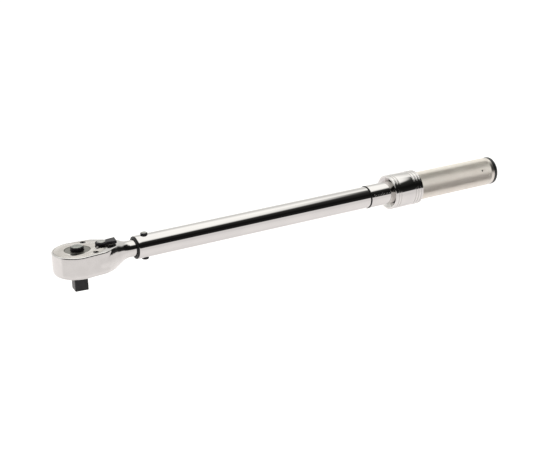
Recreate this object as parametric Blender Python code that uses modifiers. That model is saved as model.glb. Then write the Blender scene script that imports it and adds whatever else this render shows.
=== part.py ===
"""Click torque wrench with a reversible ratchet head, built as separate pieces.

The origin is the middle of the square drive's end face. +Z runs up the drive's axis and +X runs
along the tube to the handle. Lengths along the tool are measured from the drive's axis, and
heights from the tube's axis, which lies AXIS_HEIGHT above the origin.
"""
import math

import bmesh
import bpy
from mathutils import Vector

MM = 0.001

# ---- Driving sizes ---------------------------------------------------------------------------
CLEARANCE = 0.3 * MM          # between pieces that touch or run in each other
SEAM = 0.25 * MM              # between faces that are clamped together

SQUARE = 12.7 * MM            # half-inch drive, across flats
SQUARE_LENGTH = 16.0 * MM
SQUARE_CHAMFER = 0.8 * MM
SQUARE_TURN = math.radians(-7)

HEAD_RADIUS = 23.7 * MM       # round nose of the head, about the drive's axis
HEAD_TOP = 10.2 * MM
HEAD_BOTTOM = -12.2 * MM
HEAD_SHOULDER_X = 21.7 * MM
HEAD_SHOULDER_Y = 21.3 * MM
HEAD_SHOULDER_RADIUS = 9.0 * MM
HEAD_REAR_X = 38.5 * MM
HEAD_REAR_Y = 7.9 * MM
HEAD_LOWER_ROUND = 4.5 * MM
HEAD_UPPER_ROUND = 1.2 * MM
COVER_THICKNESS = 2.05 * MM
COVER_MARGIN = 1.8 * MM       # rim of the head round the cover
COVER_FLANK_MARGIN = 6.0 * MM # the same along the slanted flanks
COVER_REAR_MARGIN = 5.0 * MM

NECK_RADIUS = 8.0 * MM
FLANK = (                      # turned flank and flare of the neck: place, radius
    (14.0 * MM, 22.4 * MM), (18.5 * MM, 22.2 * MM), (23.7 * MM, 20.9 * MM), (27.3 * MM, 19.2 * MM),
    (30.5 * MM, 17.4 * MM), (34.6 * MM, 14.8 * MM), (38.0 * MM, 12.8 * MM), (41.2 * MM, 10.9 * MM),
    (43.2 * MM, 9.8 * MM), (45.4 * MM, 8.9 * MM), (47.6 * MM, 8.3 * MM), (50.0 * MM, NECK_RADIUS),
)
FLANK_SINK = 0.15 * MM         # of its flat cuts below the head's own faces
ARM_END_X = 110.0 * MM
ARM_END_RADIUS = 7.2 * MM

GEAR_TEETH = 36
GEAR_TIP_RADIUS = 15.6 * MM
GEAR_TOOTH_DEPTH = 1.2 * MM
GEAR_THICKNESS = 15.6 * MM
GEAR_FLOOR = 3.6 * MM         # metal left under the gear
ANVIL_SHANK_RADIUS = 10.8 * MM
ANVIL_BOSS_RADIUS = 12.0 * MM
ANVIL_BOSS_SINK = 0.2 * MM    # boss below the cover's top face

BUTTON_RADIUS = 6.3 * MM
BUTTON_RISE = 3.0 * MM        # side of the button above the cover
BUTTON_SKIRT = 2.2 * MM       # side of the button below the cover
BUTTON_TRAVEL = 2.5 * MM
BUTTON_CAP_RADIUS = 5.3 * MM
BUTTON_CAP_RISE = 1.5 * MM
BUTTON_POCKET_DEPTH = 13.0 * MM
ROD_RADIUS = 2.4 * MM
ROD_WAIST = 1.5 * MM
ROD_END_GAP = 0.6 * MM
BALL_RADIUS = 2.2 * MM
BALL_ABOVE_END = 6.5 * MM     # ball's centre above the square's end face
BALL_TRAVEL = 0.8 * MM
DRIVE_FLOOR = 2.0 * MM        # metal left below the rod

LEVER_X = 24.0 * MM
LEVER_REST = math.radians(-12)
LEVER_BASE_RADIUS = 5.9 * MM
LEVER_BASE_HEIGHT = 2.5 * MM
LEVER_SHAFT_RADIUS = 3.0 * MM
LEVER_SEAT_DEPTH = 3.0 * MM   # blind bearing below the pawl
LEVER_REACH = 13.7 * MM
LEVER_ROOT_WIDTH = 9.0 * MM
LEVER_TIP_WIDTH = 11.9 * MM
LEVER_TIP_RISE = 3.8 * MM     # top of the tip above the cover
LEVER_TIP_GAP = 1.0 * MM      # under the tip
LEVER_CAP_RADIUS = 4.0 * MM
LEVER_CAP_DOME = 1.0 * MM

PAWL_FLOOR_Z = -6.5 * MM
PAWL_THICKNESS = 13.6 * MM
PAWL_HUB_RADIUS = 4.4 * MM
PAWL_ROCK = math.radians(8)   # from the middle to either side
PAWL_VALLEY = 1.5             # engaged tooth valley, in gear pitches from the middle line
PAWL_TIP_DEPTH = 0.6 * MM     # how far a tip reaches below the gear's teeth

COVER_SCREW_X = 12.0 * MM
COVER_SCREW_Y = 16.0 * MM
COVER_SCREW_HEAD = 2.75 * MM
COVER_SCREW_SHANK = 1.5 * MM
COVER_SCREW_LENGTH = 9.0 * MM
COVER_SCREW_SOCKET = 1.25 * MM
DETENT_REACH = 6.4 * MM        # from the lever's axis, under the paddle
DETENT_BALL = 1.0 * MM
DETENT_WIRE = 0.2 * MM
DETENT_DEPTH = 7.0 * MM

TUBE_RADIUS = 11.25 * MM
TUBE_BORE = 9.6 * MM
TUBE_FRONT_X = 57.4 * MM
TUBE_CHAMFER = 1.0 * MM
SEAL_WIDTH = 1.2 * MM         # flange in front of the tube
SEAL_DEPTH = 4.0 * MM         # spigot inside the tube
SEAL_OUTER = 10.9 * MM
SEAL_INNER = 8.45 * MM
PIVOT_X = 67.4 * MM
PIN_RADIUS = 3.45 * MM
PIN_PROUD = 1.9 * MM
PIN_EDGE = 0.45 * MM

TOGGLE_LENGTH = 10.0 * MM     # between the centres of its round ends
TOGGLE_RADIUS = 3.0 * MM
TOGGLE_HEIGHT = 10.0 * MM
TOGGLE_SEAT_OFFSET = 0.6 * MM
PLUNGER_LENGTH = 16.0 * MM
SPIGOT_RADIUS = 5.2 * MM
SPIGOT_LENGTH = 6.0 * MM
SPRING_WIRE = 1.4 * MM        # wire's radius
SPRING_MEAN = 7.3 * MM
SPRING_TURNS = 17
SEAT_X = 290.0 * MM           # front face of the rear spring seat, at the lowest setting
SEAT_LENGTH = 7.0 * MM
WASHER_LENGTH = 3.0 * MM
SCREW_RADIUS = 5.0 * MM
NUT_X = 324.0 * MM
NUT_LENGTH = 14.0 * MM

SLEEVE_X = 321.3 * MM
SLEEVE_RADIUS = 11.75 * MM
SLEEVE_WALL = 0.85 * MM
RING_WIDTH = 0.9 * MM
RING_PROUD = 0.1 * MM

TRAVEL = 20.0 * MM            # handle's run along the scale
COLLAR_X = 347.6 * MM
COLLAR_LENGTH = 34.9 * MM
COLLAR_WALL = 3.1 * MM        # from the handle's radius to the collar's
COLLAR_TRAVEL = 5.0 * MM
COLLAR_WEB = 4.6 * MM         # inner web that guides the collar on the sleeve
COLLAR_MOUTH = 3.6 * MM       # depth of the coned mouth
COLLAR_RIB_X = 363.6 * MM
COLLAR_RIB = 3.4 * MM
GROOVE_DEPTH = 0.7 * MM

HANDLE_RADIUS = 14.9 * MM
HANDLE_END_X = 481.6 * MM
HANDLE_LAND = 3.2 * MM
HANDLE_LAND_STEP = 0.25 * MM
NOSE_X = 361.6 * MM
NOSE_WALL = 1.05 * MM
NOSE_END_X = 379.0 * MM
SNAP_RING_WIDTH = 1.0 * MM
SNAP_RING_SEAT = 0.45 * MM
SNAP_RING_WALL = 1.4 * MM
LOCK_BALL = 0.75 * MM
LOCK_BALLS = 3
LOCK_WIRE = 0.5 * MM
LOCK_TURNS = 3
PLUG_LENGTH = 16.5 * MM
PLUG_END_X = 474.0 * MM
END_NUT_LENGTH = 3.0 * MM
END_NUT_FLATS = 13.0 * MM
ROLL_PIN_X = 465.1 * MM
ROLL_PIN_RADIUS = 0.95 * MM
ROLL_PIN_TILT = math.radians(25)
ROLL_PIN_SINK = 0.5 * MM
CAP_LENGTH = 3.7 * MM
CAP_ROUND = 1.2 * MM

FINE = 48                     # steps round the large turned pieces
MEDIUM = 36
SMALL = 20

# ---- Places worked out from them -------------------------------------------------------------
AXIS_HEIGHT = SQUARE_LENGTH - HEAD_BOTTOM
SQUARE_END = -AXIS_HEIGHT
COVER_TOP = HEAD_TOP
COVER_BOTTOM = COVER_TOP - COVER_THICKNESS
COVER_SEAT = COVER_BOTTOM - SEAM
GEAR_BOTTOM = HEAD_BOTTOM + GEAR_FLOOR + CLEARANCE
GEAR_TOP = GEAR_BOTTOM + GEAR_THICKNESS
BOSS_TOP = COVER_TOP - ANVIL_BOSS_SINK
PITCH = 2 * math.pi / GEAR_TEETH
BUTTON_BOTTOM = COVER_TOP - BUTTON_SKIRT
BUTTON_TOP = COVER_TOP + BUTTON_RISE
BUTTON_POCKET = COVER_TOP - BUTTON_POCKET_DEPTH
BALL_Z = SQUARE_END + BALL_ABOVE_END
BALL_OUT = ROD_RADIUS + CLEARANCE + BALL_RADIUS
ARM_SEAT_X = ARM_END_X + TOGGLE_SEAT_OFFSET
PLUNGER_SEAT_X = ARM_SEAT_X + TOGGLE_LENGTH
PLUNGER_X = PLUNGER_SEAT_X + TOGGLE_SEAT_OFFSET
PLUNGER_END_X = PLUNGER_X + PLUNGER_LENGTH
TUBE_FIT = TUBE_BORE - CLEARANCE
WASHER_X = SEAT_X + SEAT_LENGTH + CLEARANCE
SCREW_X = WASHER_X + WASHER_LENGTH + CLEARANCE
SLEEVE_BORE = SLEEVE_RADIUS - SLEEVE_WALL
TUBE_NECKED = SLEEVE_BORE - CLEARANCE
RING_X = SLEEVE_X - CLEARANCE - RING_WIDTH
NECKED_X = RING_X - CLEARANCE
PLUG_X = PLUG_END_X - PLUG_LENGTH
TUBE_END_X = PLUG_X - TRAVEL - 1.5 * MM
WEB_BORE = SLEEVE_RADIUS + CLEARANCE + 0.1 * MM
HANDLE_BORE = WEB_BORE
NOSE_RADIUS = HANDLE_BORE + NOSE_WALL
COLLAR_RADIUS = HANDLE_RADIUS + COLLAR_WALL
END_NUT_X = PLUG_END_X + CLEARANCE
SCREW_END_X = END_NUT_X + END_NUT_LENGTH
COLLAR_END_X = COLLAR_X + COLLAR_LENGTH
COLLAR_REAR_BORE = HANDLE_RADIUS + CLEARANCE
LOCK_BALL_X = COLLAR_RIB_X + COLLAR_RIB / 2
LOCK_BALL_OUT = HANDLE_BORE + (NOSE_RADIUS - HANDLE_BORE) / 2
RIB_BORE = max(NOSE_RADIUS, LOCK_BALL_OUT + LOCK_BALL) + CLEARANCE / 2
SNAP_RING_X = COLLAR_RIB_X - CLEARANCE - SNAP_RING_WIDTH
SNAP_GROOVE = NOSE_RADIUS - SNAP_RING_SEAT
SNAP_RING_RADIUS = SNAP_GROOVE + CLEARANCE / 2 + SNAP_RING_WALL

# ---- Looks: colour, roughness, metallic ------------------------------------------------------
CHROME = ((0.82, 0.80, 0.78), 0.08, 1.0)
SATIN = ((0.70, 0.68, 0.66), 0.30, 1.0)
BLACK_OXIDE = ((0.03, 0.03, 0.03), 0.45, 0.6)
STEEL = ((0.52, 0.52, 0.50), 0.35, 1.0)
SPRING_STEEL = ((0.30, 0.30, 0.32), 0.40, 1.0)
KNURL = ((0.62, 0.59, 0.55), 0.45, 1.0)
BLACK_PLASTIC = ((0.02, 0.02, 0.02), 0.50, 0.0)
RUBBER = ((0.015, 0.015, 0.015), 0.70, 0.0)
BRONZE = ((0.60, 0.42, 0.20), 0.40, 1.0)


# ---- Tools -----------------------------------------------------------------------------------
def clear_scene():
    for item in list(bpy.data.objects):
        bpy.data.objects.remove(item, do_unlink=True)


def new_collection(name):
    made = bpy.data.collections.new(name)
    bpy.context.scene.collection.children.link(made)
    return made


def finish_with(item, look):
    colour, roughness, metallic = look
    made = bpy.data.materials.new(item.name)
    made.use_nodes = True
    shader = made.node_tree.nodes["Principled BSDF"]
    shader.inputs["Base Color"].default_value = (*colour, 1)
    shader.inputs["Roughness"].default_value = roughness
    shader.inputs["Metallic"].default_value = metallic
    item.data.materials.clear()
    item.data.materials.append(made)


def add_object(name, mesh, at=(0, 0, 0), turn=(0, 0, 0)):
    """Put a mesh in the parts' collection; `at` is measured from the tube's axis."""
    item = bpy.data.objects.new(name, mesh)
    item.location = (at[0], at[1], at[2] + AXIS_HEIGHT)
    item.rotation_euler = turn
    PARTS.objects.link(item)
    return item


def turned(name, profile, steps, hollow=False, at=(0, 0, 0), turn=(0, 0, 0)):
    """Turn a profile of (distance along the axis, radius) round local Z.

    The profile runs up the outside. A hollow piece's profile comes back down its bore.
    """
    mesh = bpy.data.meshes.new(name)
    points = [(radius, 0, along) for along, radius in reversed(profile)]
    edges = [(i, i + 1) for i in range(len(points) - 1)]
    if hollow:
        edges.append((len(points) - 1, 0))
    mesh.from_pydata(points, edges, [])
    item = add_object(name, mesh, at, turn)
    screw = item.modifiers.new("Turn", "SCREW")
    screw.axis = "Z"
    screw.steps = steps
    screw.render_steps = steps
    screw.use_merge_vertices = True
    screw.merge_threshold = 0.00001
    screw.use_smooth_shade = True
    return item


def turned_along_tool(name, profile, steps, hollow=False):
    """Turn a profile of (distance from the drive's axis, radius) round the tube's axis."""
    return turned(name, profile, steps, hollow, turn=(0, math.pi / 2, 0))


def mesh_from_curve(curve, name, at, turn):
    """Make a closed mesh object from a curve, with its caps welded on."""
    source = add_object(name + "_curve", curve, at, turn)
    graph = bpy.context.evaluated_depsgraph_get()
    mesh = bpy.data.meshes.new_from_object(source.evaluated_get(graph))
    bpy.data.objects.remove(source, do_unlink=True)
    shape = bmesh.new()
    shape.from_mesh(mesh)
    bmesh.ops.remove_doubles(shape, verts=shape.verts, dist=0.000001)
    bmesh.ops.recalc_face_normals(shape, faces=shape.faces)
    shape.to_mesh(mesh)
    shape.free()
    return add_object(name, mesh, at, turn)


def plate(name, outline, low, high, at=(0, 0, 0), turn=(0, 0, 0)):
    """Extrude a flat outline of (x, y) points from height low to height high."""
    curve = bpy.data.curves.new(name, "CURVE")
    curve.dimensions = "2D"
    curve.fill_mode = "BOTH"
    curve.extrude = (high - low) / 2
    spline = curve.splines.new("POLY")
    spline.points.add(len(outline) - 1)
    for point, (x, y) in zip(spline.points, outline):
        point.co = (x, y, 0, 1)
    spline.use_cyclic_u = True
    middle = (at[0], at[1], at[2] + (high + low) / 2)
    return mesh_from_curve(curve, name, middle, turn)


def coil(name, mean_radius, wire, turns, length, at, turn, per_turn=8):
    """A compression spring from local z 0 to length, with its wire cut off square."""
    count = turns * per_turn + 1
    curve = bpy.data.curves.new(name, "CURVE")
    curve.dimensions = "3D"
    curve.bevel_depth = wire
    curve.bevel_resolution = 2
    curve.use_fill_caps = True
    spline = curve.splines.new("POLY")
    spline.points.add(count - 1)
    for i, point in enumerate(spline.points):
        angle = 2 * math.pi * i / per_turn
        lift = wire + (length - 2 * wire) * i / (count - 1)
        point.co = (mean_radius * math.cos(angle), mean_radius * math.sin(angle), lift, 1)
    return mesh_from_curve(curve, name, at, turn)


def put_away(tool):
    """Keep a tool shape in the cutters' collection, out of the render."""
    PARTS.objects.unlink(tool)
    CUTTERS.objects.link(tool)
    tool.hide_render = True
    tool.display_type = "WIRE"


def combine(item, tool, operation):
    put_away(tool)
    step = item.modifiers.new(operation.title(), "BOOLEAN")
    step.operation = operation
    step.solver = "EXACT"
    step.object = tool


def cut(item, tool):
    combine(item, tool, "DIFFERENCE")


def join(item, tool):
    combine(item, tool, "UNION")


def post(name, radius, low, high, at=(0, 0, 0), turn=(0, 0, 0), steps=SMALL):
    """A plain round bar from low to high on its own axis, for holes and bosses."""
    return turned(name, [(low, 0), (low, radius), (high, radius), (high, 0)], steps,
                  at=at, turn=turn)


def ball(name, radius, at, segments=16, rings=10):
    shape = bmesh.new()
    bmesh.ops.create_uvsphere(shape, u_segments=segments, v_segments=rings, radius=radius)
    for face in shape.faces:
        face.smooth = True
    mesh = bpy.data.meshes.new(name)
    shape.to_mesh(mesh)
    shape.free()
    return add_object(name, mesh, at)


def bevel(item, width, segments=2, angle=50):
    step = item.modifiers.new("Bevel", "BEVEL")
    step.width = width
    step.segments = segments
    step.limit_method = "ANGLE"
    step.angle_limit = math.radians(angle)


def bevel_edges_at(item, height, width, segments):
    """Round the outline edges that lie at one local height."""
    shape = bmesh.new()
    shape.from_mesh(item.data)
    rim = [
        edge for edge in shape.edges
        if all(abs(vert.co.z - height) < 1e-6 for vert in edge.verts)
        and any(abs(face.normal.z) < 0.5 for face in edge.link_faces)
    ]
    bmesh.ops.bevel(shape, geom=rim, offset=width, segments=segments, profile=0.5,
                    affect="EDGES", clamp_overlap=True)
    shape.to_mesh(item.data)
    shape.free()


def arc(x, y, radius, start, end, steps):
    """Points on an arc, in order from angle start to angle end in degrees."""
    angles = [math.radians(start + (end - start) * i / steps) for i in range(steps + 1)]
    return [(x + radius * math.cos(a), y + radius * math.sin(a)) for a in angles]


def rounded_corner(before, corner, after, radius, steps=6):
    """Points of the arc that rounds one corner of an outline."""
    corner = Vector(corner)
    to_before = (Vector(before) - corner).normalized()
    to_after = (Vector(after) - corner).normalized()
    half = to_before.angle(to_after) / 2
    centre = corner + (to_before + to_after).normalized() * radius / math.sin(half)
    first = corner + to_before * radius / math.tan(half) - centre
    last = corner + to_after * radius / math.tan(half) - centre
    start = math.atan2(first.y, first.x)
    sweep = (math.atan2(last.y, last.x) - start + math.pi) % (2 * math.pi) - math.pi
    return arc(centre.x, centre.y, radius, math.degrees(start),
               math.degrees(start + sweep), steps)


def mirrored(half):
    """Complete an outline from its +Y half, which runs from front to back."""
    return half + [(x, -y) for x, y in reversed(half) if y > 1e-6]


# ---- Ratchet head ----------------------------------------------------------------------------
def head_outline():
    shoulder = (HEAD_SHOULDER_X, HEAD_SHOULDER_Y)
    rear = (HEAD_REAR_X, HEAD_REAR_Y)
    nose = arc(0, 0, HEAD_RADIUS, 180, 95, 17)
    return mirrored(nose + rounded_corner(nose[-1], shoulder, rear, HEAD_SHOULDER_RADIUS) + [rear])


def corner_inside(before, corner, after, first, second):
    """Corner of a clockwise outline whose two edges are moved in by first and second."""
    corner = Vector(corner)
    along = (corner - Vector(before)).normalized()
    onward = (Vector(after) - corner).normalized()
    one = Vector((along.y, -along.x))
    two = Vector((onward.y, -onward.x))
    area = one.x * two.y - one.y * two.x
    return corner + Vector(((first * two.y - second * one.y) / area,
                            (second * one.x - first * two.x) / area))


def cover_outline(room):
    """The cover's outline, made wider all round by room."""
    nose_end = arc(0, 0, HEAD_RADIUS, 180, 95, 17)[-1]
    shoulder = (HEAD_SHOULDER_X, HEAD_SHOULDER_Y)
    rear = (HEAD_REAR_X, HEAD_REAR_Y)
    flank = COVER_FLANK_MARGIN - room
    front = corner_inside(nose_end, shoulder, rear, COVER_MARGIN - room, flank)
    back = corner_inside(shoulder, rear, (rear[0], -rear[1]), flank, COVER_REAR_MARGIN - room)
    nose = arc(0, 0, HEAD_RADIUS - COVER_MARGIN + room, 180, 95, 17)
    return mirrored(nose + rounded_corner(nose[-1], front, back, 6 * MM)
                    + rounded_corner(front, back, (back.x, -back.y), 2 * MM))


def pawl_horn():
    """The lower horn in mesh: (inner shoulder, tip, tip, outer shoulder) from the lever's axis."""
    tip = GEAR_TIP_RADIUS - PAWL_TIP_DEPTH
    shoulder = GEAR_TIP_RADIUS + 2 * CLEARANCE
    places = ((shoulder, 3.0), (tip, 0.7), (tip, -0.7), (shoulder, -3.0))
    valley = -PAWL_VALLEY * PITCH
    points = []
    for radius, offset in places:
        angle = valley + math.radians(offset)
        points.append(Vector((radius * math.cos(angle) - LEVER_X, radius * math.sin(angle))))
    return points


def turned_by(point, angle):
    return (point.x * math.cos(angle) - point.y * math.sin(angle),
            point.x * math.sin(angle) + point.y * math.cos(angle))


def arm_shape():
    """Turned flank, neck and lever arm that runs back inside the tube, cut flat above and below."""
    taper_x = PIVOT_X + 15 * MM
    profile = [(FLANK[0][0], 0)] + list(FLANK)
    profile += [(taper_x, NECK_RADIUS), (taper_x + 4 * MM, ARM_END_RADIUS),
                (ARM_END_X - 0.5 * MM, ARM_END_RADIUS), (ARM_END_X, ARM_END_RADIUS - 0.5 * MM),
                (ARM_END_X, 0)]
    shape = turned_along_tool("arm_shape", profile, MEDIUM)
    reach = 2 * HEAD_RADIUS
    square = [(-reach, -reach), (4 * reach, -reach), (4 * reach, reach), (-reach, reach)]
    cut(shape, plate("above_flank", square, HEAD_TOP - FLANK_SINK, reach))
    cut(shape, plate("below_flank", square, -reach, HEAD_BOTTOM + FLANK_SINK))
    return shape


def make_head_body():
    body = plate("head_body", head_outline(), HEAD_BOTTOM, HEAD_TOP)
    half = (HEAD_TOP - HEAD_BOTTOM) / 2
    bevel_edges_at(body, -half, HEAD_LOWER_ROUND, 3)
    bevel_edges_at(body, half, HEAD_UPPER_ROUND, 2)
    join(body, arm_shape())
    room = GEAR_TIP_RADIUS + 2 * CLEARANCE
    above = HEAD_TOP + 3 * MM
    below = HEAD_BOTTOM - 1 * MM
    cut(body, plate("cover_room", cover_outline(SEAM), COVER_SEAT, above))
    floor = HEAD_BOTTOM + GEAR_FLOOR
    shank = ANVIL_SHANK_RADIUS + CLEARANCE
    cut(body, turned("gear_room", [(below, 0), (below, shank), (floor, shank), (floor, room),
                                   (above, room), (above, 0)], MEDIUM))
    swing = max(abs(turned_by(point, 2 * PAWL_ROCK)[1]) for point in pawl_horn())
    half = swing + 2 * CLEARANCE
    hub = PAWL_HUB_RADIUS + CLEARANCE
    horns = [(room - 4 * MM, -half), (LEVER_X - hub, -half), (LEVER_X, -hub),
             (LEVER_X, hub), (LEVER_X - hub, half), (room - 4 * MM, half)]
    cut(body, plate("horn_room", horns, PAWL_FLOOR_Z + CLEARANCE / 3, above))
    seat = LEVER_SHAFT_RADIUS + CLEARANCE
    seat_floor = PAWL_FLOOR_Z - LEVER_SEAT_DEPTH
    cut(body, turned("lever_room", [(seat_floor, 0), (seat_floor, seat), (PAWL_FLOOR_Z, seat),
                                    (PAWL_FLOOR_Z, hub), (above, hub), (above, 0)], SMALL,
                     at=(LEVER_X, 0, 0)))
    for i, side in enumerate((1, -1)):
        cut(body, post(f"screw_room_{i + 1}", COVER_SCREW_SHANK + CLEARANCE,
                       COVER_TOP - COVER_SCREW_LENGTH - 1 * MM, above,
                       at=(COVER_SCREW_X, side * COVER_SCREW_Y, 0)))
    cut(body, post("detent_room", DETENT_BALL + CLEARANCE / 2, COVER_SEAT - DETENT_DEPTH, above,
                   at=(LEVER_X + DETENT_REACH, 0, 0)))
    cut(body, post("pin_room", PIN_RADIUS + CLEARANCE, -TUBE_RADIUS, TUBE_RADIUS,
                   at=(PIVOT_X, 0, 0)))
    cut(body, post("toggle_seat", TOGGLE_RADIUS + CLEARANCE, -TOGGLE_HEIGHT / 2 - CLEARANCE,
                   TOGGLE_HEIGHT / 2 + CLEARANCE, at=(ARM_SEAT_X, 0, 0)))
    finish_with(body, SATIN)
    return body


def make_cover():
    cover = plate("cover_plate", cover_outline(0), COVER_BOTTOM, COVER_TOP)
    low = COVER_BOTTOM - 1 * MM
    high = COVER_TOP + 1 * MM
    cut(cover, post("boss_hole", ANVIL_BOSS_RADIUS + CLEARANCE, low, high, steps=MEDIUM))
    cut(cover, post("lever_hole", LEVER_SHAFT_RADIUS + CLEARANCE, low, high, at=(LEVER_X, 0, 0)))
    cut(cover, post("detent_hole", DETENT_BALL + CLEARANCE / 2, low, high,
                    at=(LEVER_X + DETENT_REACH, 0, 0)))
    for i, side in enumerate((1, -1)):
        head = COVER_SCREW_HEAD + CLEARANCE / 2
        shank = COVER_SCREW_SHANK + CLEARANCE
        rim = COVER_TOP - 1.5 * CLEARANCE
        sink = [(low, 0), (low, shank), (rim - (head - shank), shank), (rim, head),
                (high, head), (high, 0)]
        cut(cover, turned(f"countersink_{i + 1}", sink, SMALL,
                          at=(COVER_SCREW_X, side * COVER_SCREW_Y, 0)))
    finish_with(cover, SATIN)
    return cover


def make_cover_screws():
    screws = []
    top = COVER_TOP - CLEARANCE
    neck = top - (COVER_SCREW_HEAD - COVER_SCREW_SHANK)
    low = COVER_TOP - COVER_SCREW_LENGTH
    profile = [(low, 0), (low, COVER_SCREW_SHANK), (neck, COVER_SCREW_SHANK),
               (top - 0.15 * MM, COVER_SCREW_HEAD - 0.15 * MM), (top, COVER_SCREW_HEAD - 0.15 * MM),
               (top, 0)]
    across = COVER_SCREW_SOCKET / math.cos(math.radians(30))
    for i, side in enumerate((1, -1)):
        place = (COVER_SCREW_X, side * COVER_SCREW_Y, 0)
        screw = turned(f"cover_screw_{i + 1}", profile, SMALL, at=place)
        cut(screw, post(f"screw_socket_{i + 1}", across, top - 1.5 * MM, top + 1 * MM, at=place,
                        steps=6))
        finish_with(screw, BLACK_OXIDE)
        screws.append(screw)
    return screws


def make_drive_anvil():
    """Toothed ring, bearing shank and square drive, in one forging."""
    land = PITCH * 0.12
    root = GEAR_TIP_RADIUS - GEAR_TOOTH_DEPTH
    outline = []
    for tooth in range(GEAR_TEETH):
        middle = tooth * PITCH
        steps = ((root, -PITCH / 2 + land), (GEAR_TIP_RADIUS, -land),
                 (GEAR_TIP_RADIUS, land), (root, PITCH / 2 - land))
        outline += [(r * math.cos(middle + a), r * math.sin(middle + a)) for r, a in steps]
    anvil = plate("drive_anvil", outline, GEAR_BOTTOM, GEAR_TOP)
    lap = 1 * MM
    core = [(HEAD_BOTTOM, 0), (HEAD_BOTTOM, ANVIL_SHANK_RADIUS - 0.4 * MM),
            (HEAD_BOTTOM + 0.4 * MM, ANVIL_SHANK_RADIUS), (GEAR_BOTTOM + lap, ANVIL_SHANK_RADIUS),
            (GEAR_BOTTOM + lap, ANVIL_BOSS_RADIUS), (BOSS_TOP - 0.3 * MM, ANVIL_BOSS_RADIUS),
            (BOSS_TOP, ANVIL_BOSS_RADIUS - 0.3 * MM), (BOSS_TOP, 0)]
    join(anvil, turned("anvil_core", core, MEDIUM))
    flat = SQUARE / 2
    corner = SQUARE_CHAMFER
    square = []
    for x, y in ((1, 1), (1, -1), (-1, -1), (-1, 1)):
        start = {(1, 1): 90, (1, -1): 0, (-1, -1): -90, (-1, 1): 180}[(x, y)]
        square += arc(x * (flat - corner), y * (flat - corner), corner, start, start - 90, 2)
    drive = plate("square_shape", square, SQUARE_END, HEAD_BOTTOM + lap, turn=(0, 0, SQUARE_TURN))
    bevel_edges_at(drive, -(SQUARE_LENGTH + lap) / 2, SQUARE_CHAMFER, 2)
    join(anvil, drive)
    cut(anvil, post("button_room", BUTTON_RADIUS + CLEARANCE, BUTTON_POCKET, COVER_TOP + lap,
                    steps=MEDIUM))
    cut(anvil, post("rod_room", ROD_RADIUS + CLEARANCE, SQUARE_END + DRIVE_FLOOR,
                    BUTTON_POCKET + lap))
    across = (-math.pi / 2, 0, SQUARE_TURN)
    cut(anvil, post("ball_room", BALL_RADIUS + CLEARANCE / 2, 0, SQUARE, at=(0, 0, BALL_Z),
                    turn=across, steps=22))
    finish_with(anvil, BLACK_OXIDE)
    return anvil


def make_release_button():
    seat = BUTTON_TOP - 0.9 * MM
    socket = ROD_RADIUS + CLEARANCE
    socket_top = BUTTON_BOTTOM + 3.0 * MM
    rim = BUTTON_CAP_RADIUS + CLEARANCE
    button = [(socket_top, 0), (socket_top, socket), (BUTTON_BOTTOM, socket),
              (BUTTON_BOTTOM, BUTTON_RADIUS), (BUTTON_TOP - 0.35 * MM, BUTTON_RADIUS),
              (BUTTON_TOP, BUTTON_RADIUS - 0.35 * MM), (BUTTON_TOP, rim), (seat, rim), (seat, 0)]
    button = turned("quick_release_button", button, MEDIUM)
    finish_with(button, BLACK_OXIDE)
    low = seat + CLEARANCE
    edge = BUTTON_TOP + 0.3 * MM
    dome = [(low, 0), (low, BUTTON_CAP_RADIUS), (edge, BUTTON_CAP_RADIUS)]
    for i in range(1, 7):
        share = i / 6
        dome.append((edge + (BUTTON_CAP_RISE - 0.3 * MM) * math.sin(share * math.pi / 2),
                     BUTTON_CAP_RADIUS * math.cos(share * math.pi / 2) if i < 6 else 0))
    cap = turned("button_cap", dome, MEDIUM)
    finish_with(cap, STEEL)
    return button, cap


def make_release_rod():
    """Push rod with a ramped waist that lets the retaining ball sink in."""
    slope = BALL_TRAVEL / BUTTON_TRAVEL
    ramp_low = BALL_Z - 0.2 * MM
    ramp_high = ramp_low + (ROD_RADIUS - ROD_WAIST) / slope
    waist_end = ramp_high + 2.4 * MM
    low = SQUARE_END + DRIVE_FLOOR + BUTTON_TRAVEL + ROD_END_GAP
    high = BUTTON_BOTTOM + 3.0 * MM - CLEARANCE
    profile = [(low, 0), (low, ROD_RADIUS), (ramp_low, ROD_RADIUS), (ramp_high, ROD_WAIST),
               (waist_end, ROD_WAIST), (waist_end + 1 * MM, ROD_RADIUS), (high, ROD_RADIUS),
               (high, 0)]
    rod = turned("release_rod", profile, SMALL)
    finish_with(rod, STEEL)
    return rod


def make_button_spring():
    low = BUTTON_POCKET + CLEARANCE
    wire = 0.45 * MM
    mean = (BUTTON_RADIUS + ROD_RADIUS) / 2 + 0.4 * MM
    spring = coil("button_spring", mean, wire, 5, BUTTON_BOTTOM - CLEARANCE - low,
                  at=(0, 0, low), turn=(0, 0, 0))
    finish_with(spring, SPRING_STEEL)
    return spring


def make_retaining_ball():
    place = (-BALL_OUT * math.sin(SQUARE_TURN), BALL_OUT * math.cos(SQUARE_TURN), BALL_Z)
    item = ball("retaining_ball", BALL_RADIUS, place, 20, 12)
    finish_with(item, STEEL)
    return item


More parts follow.
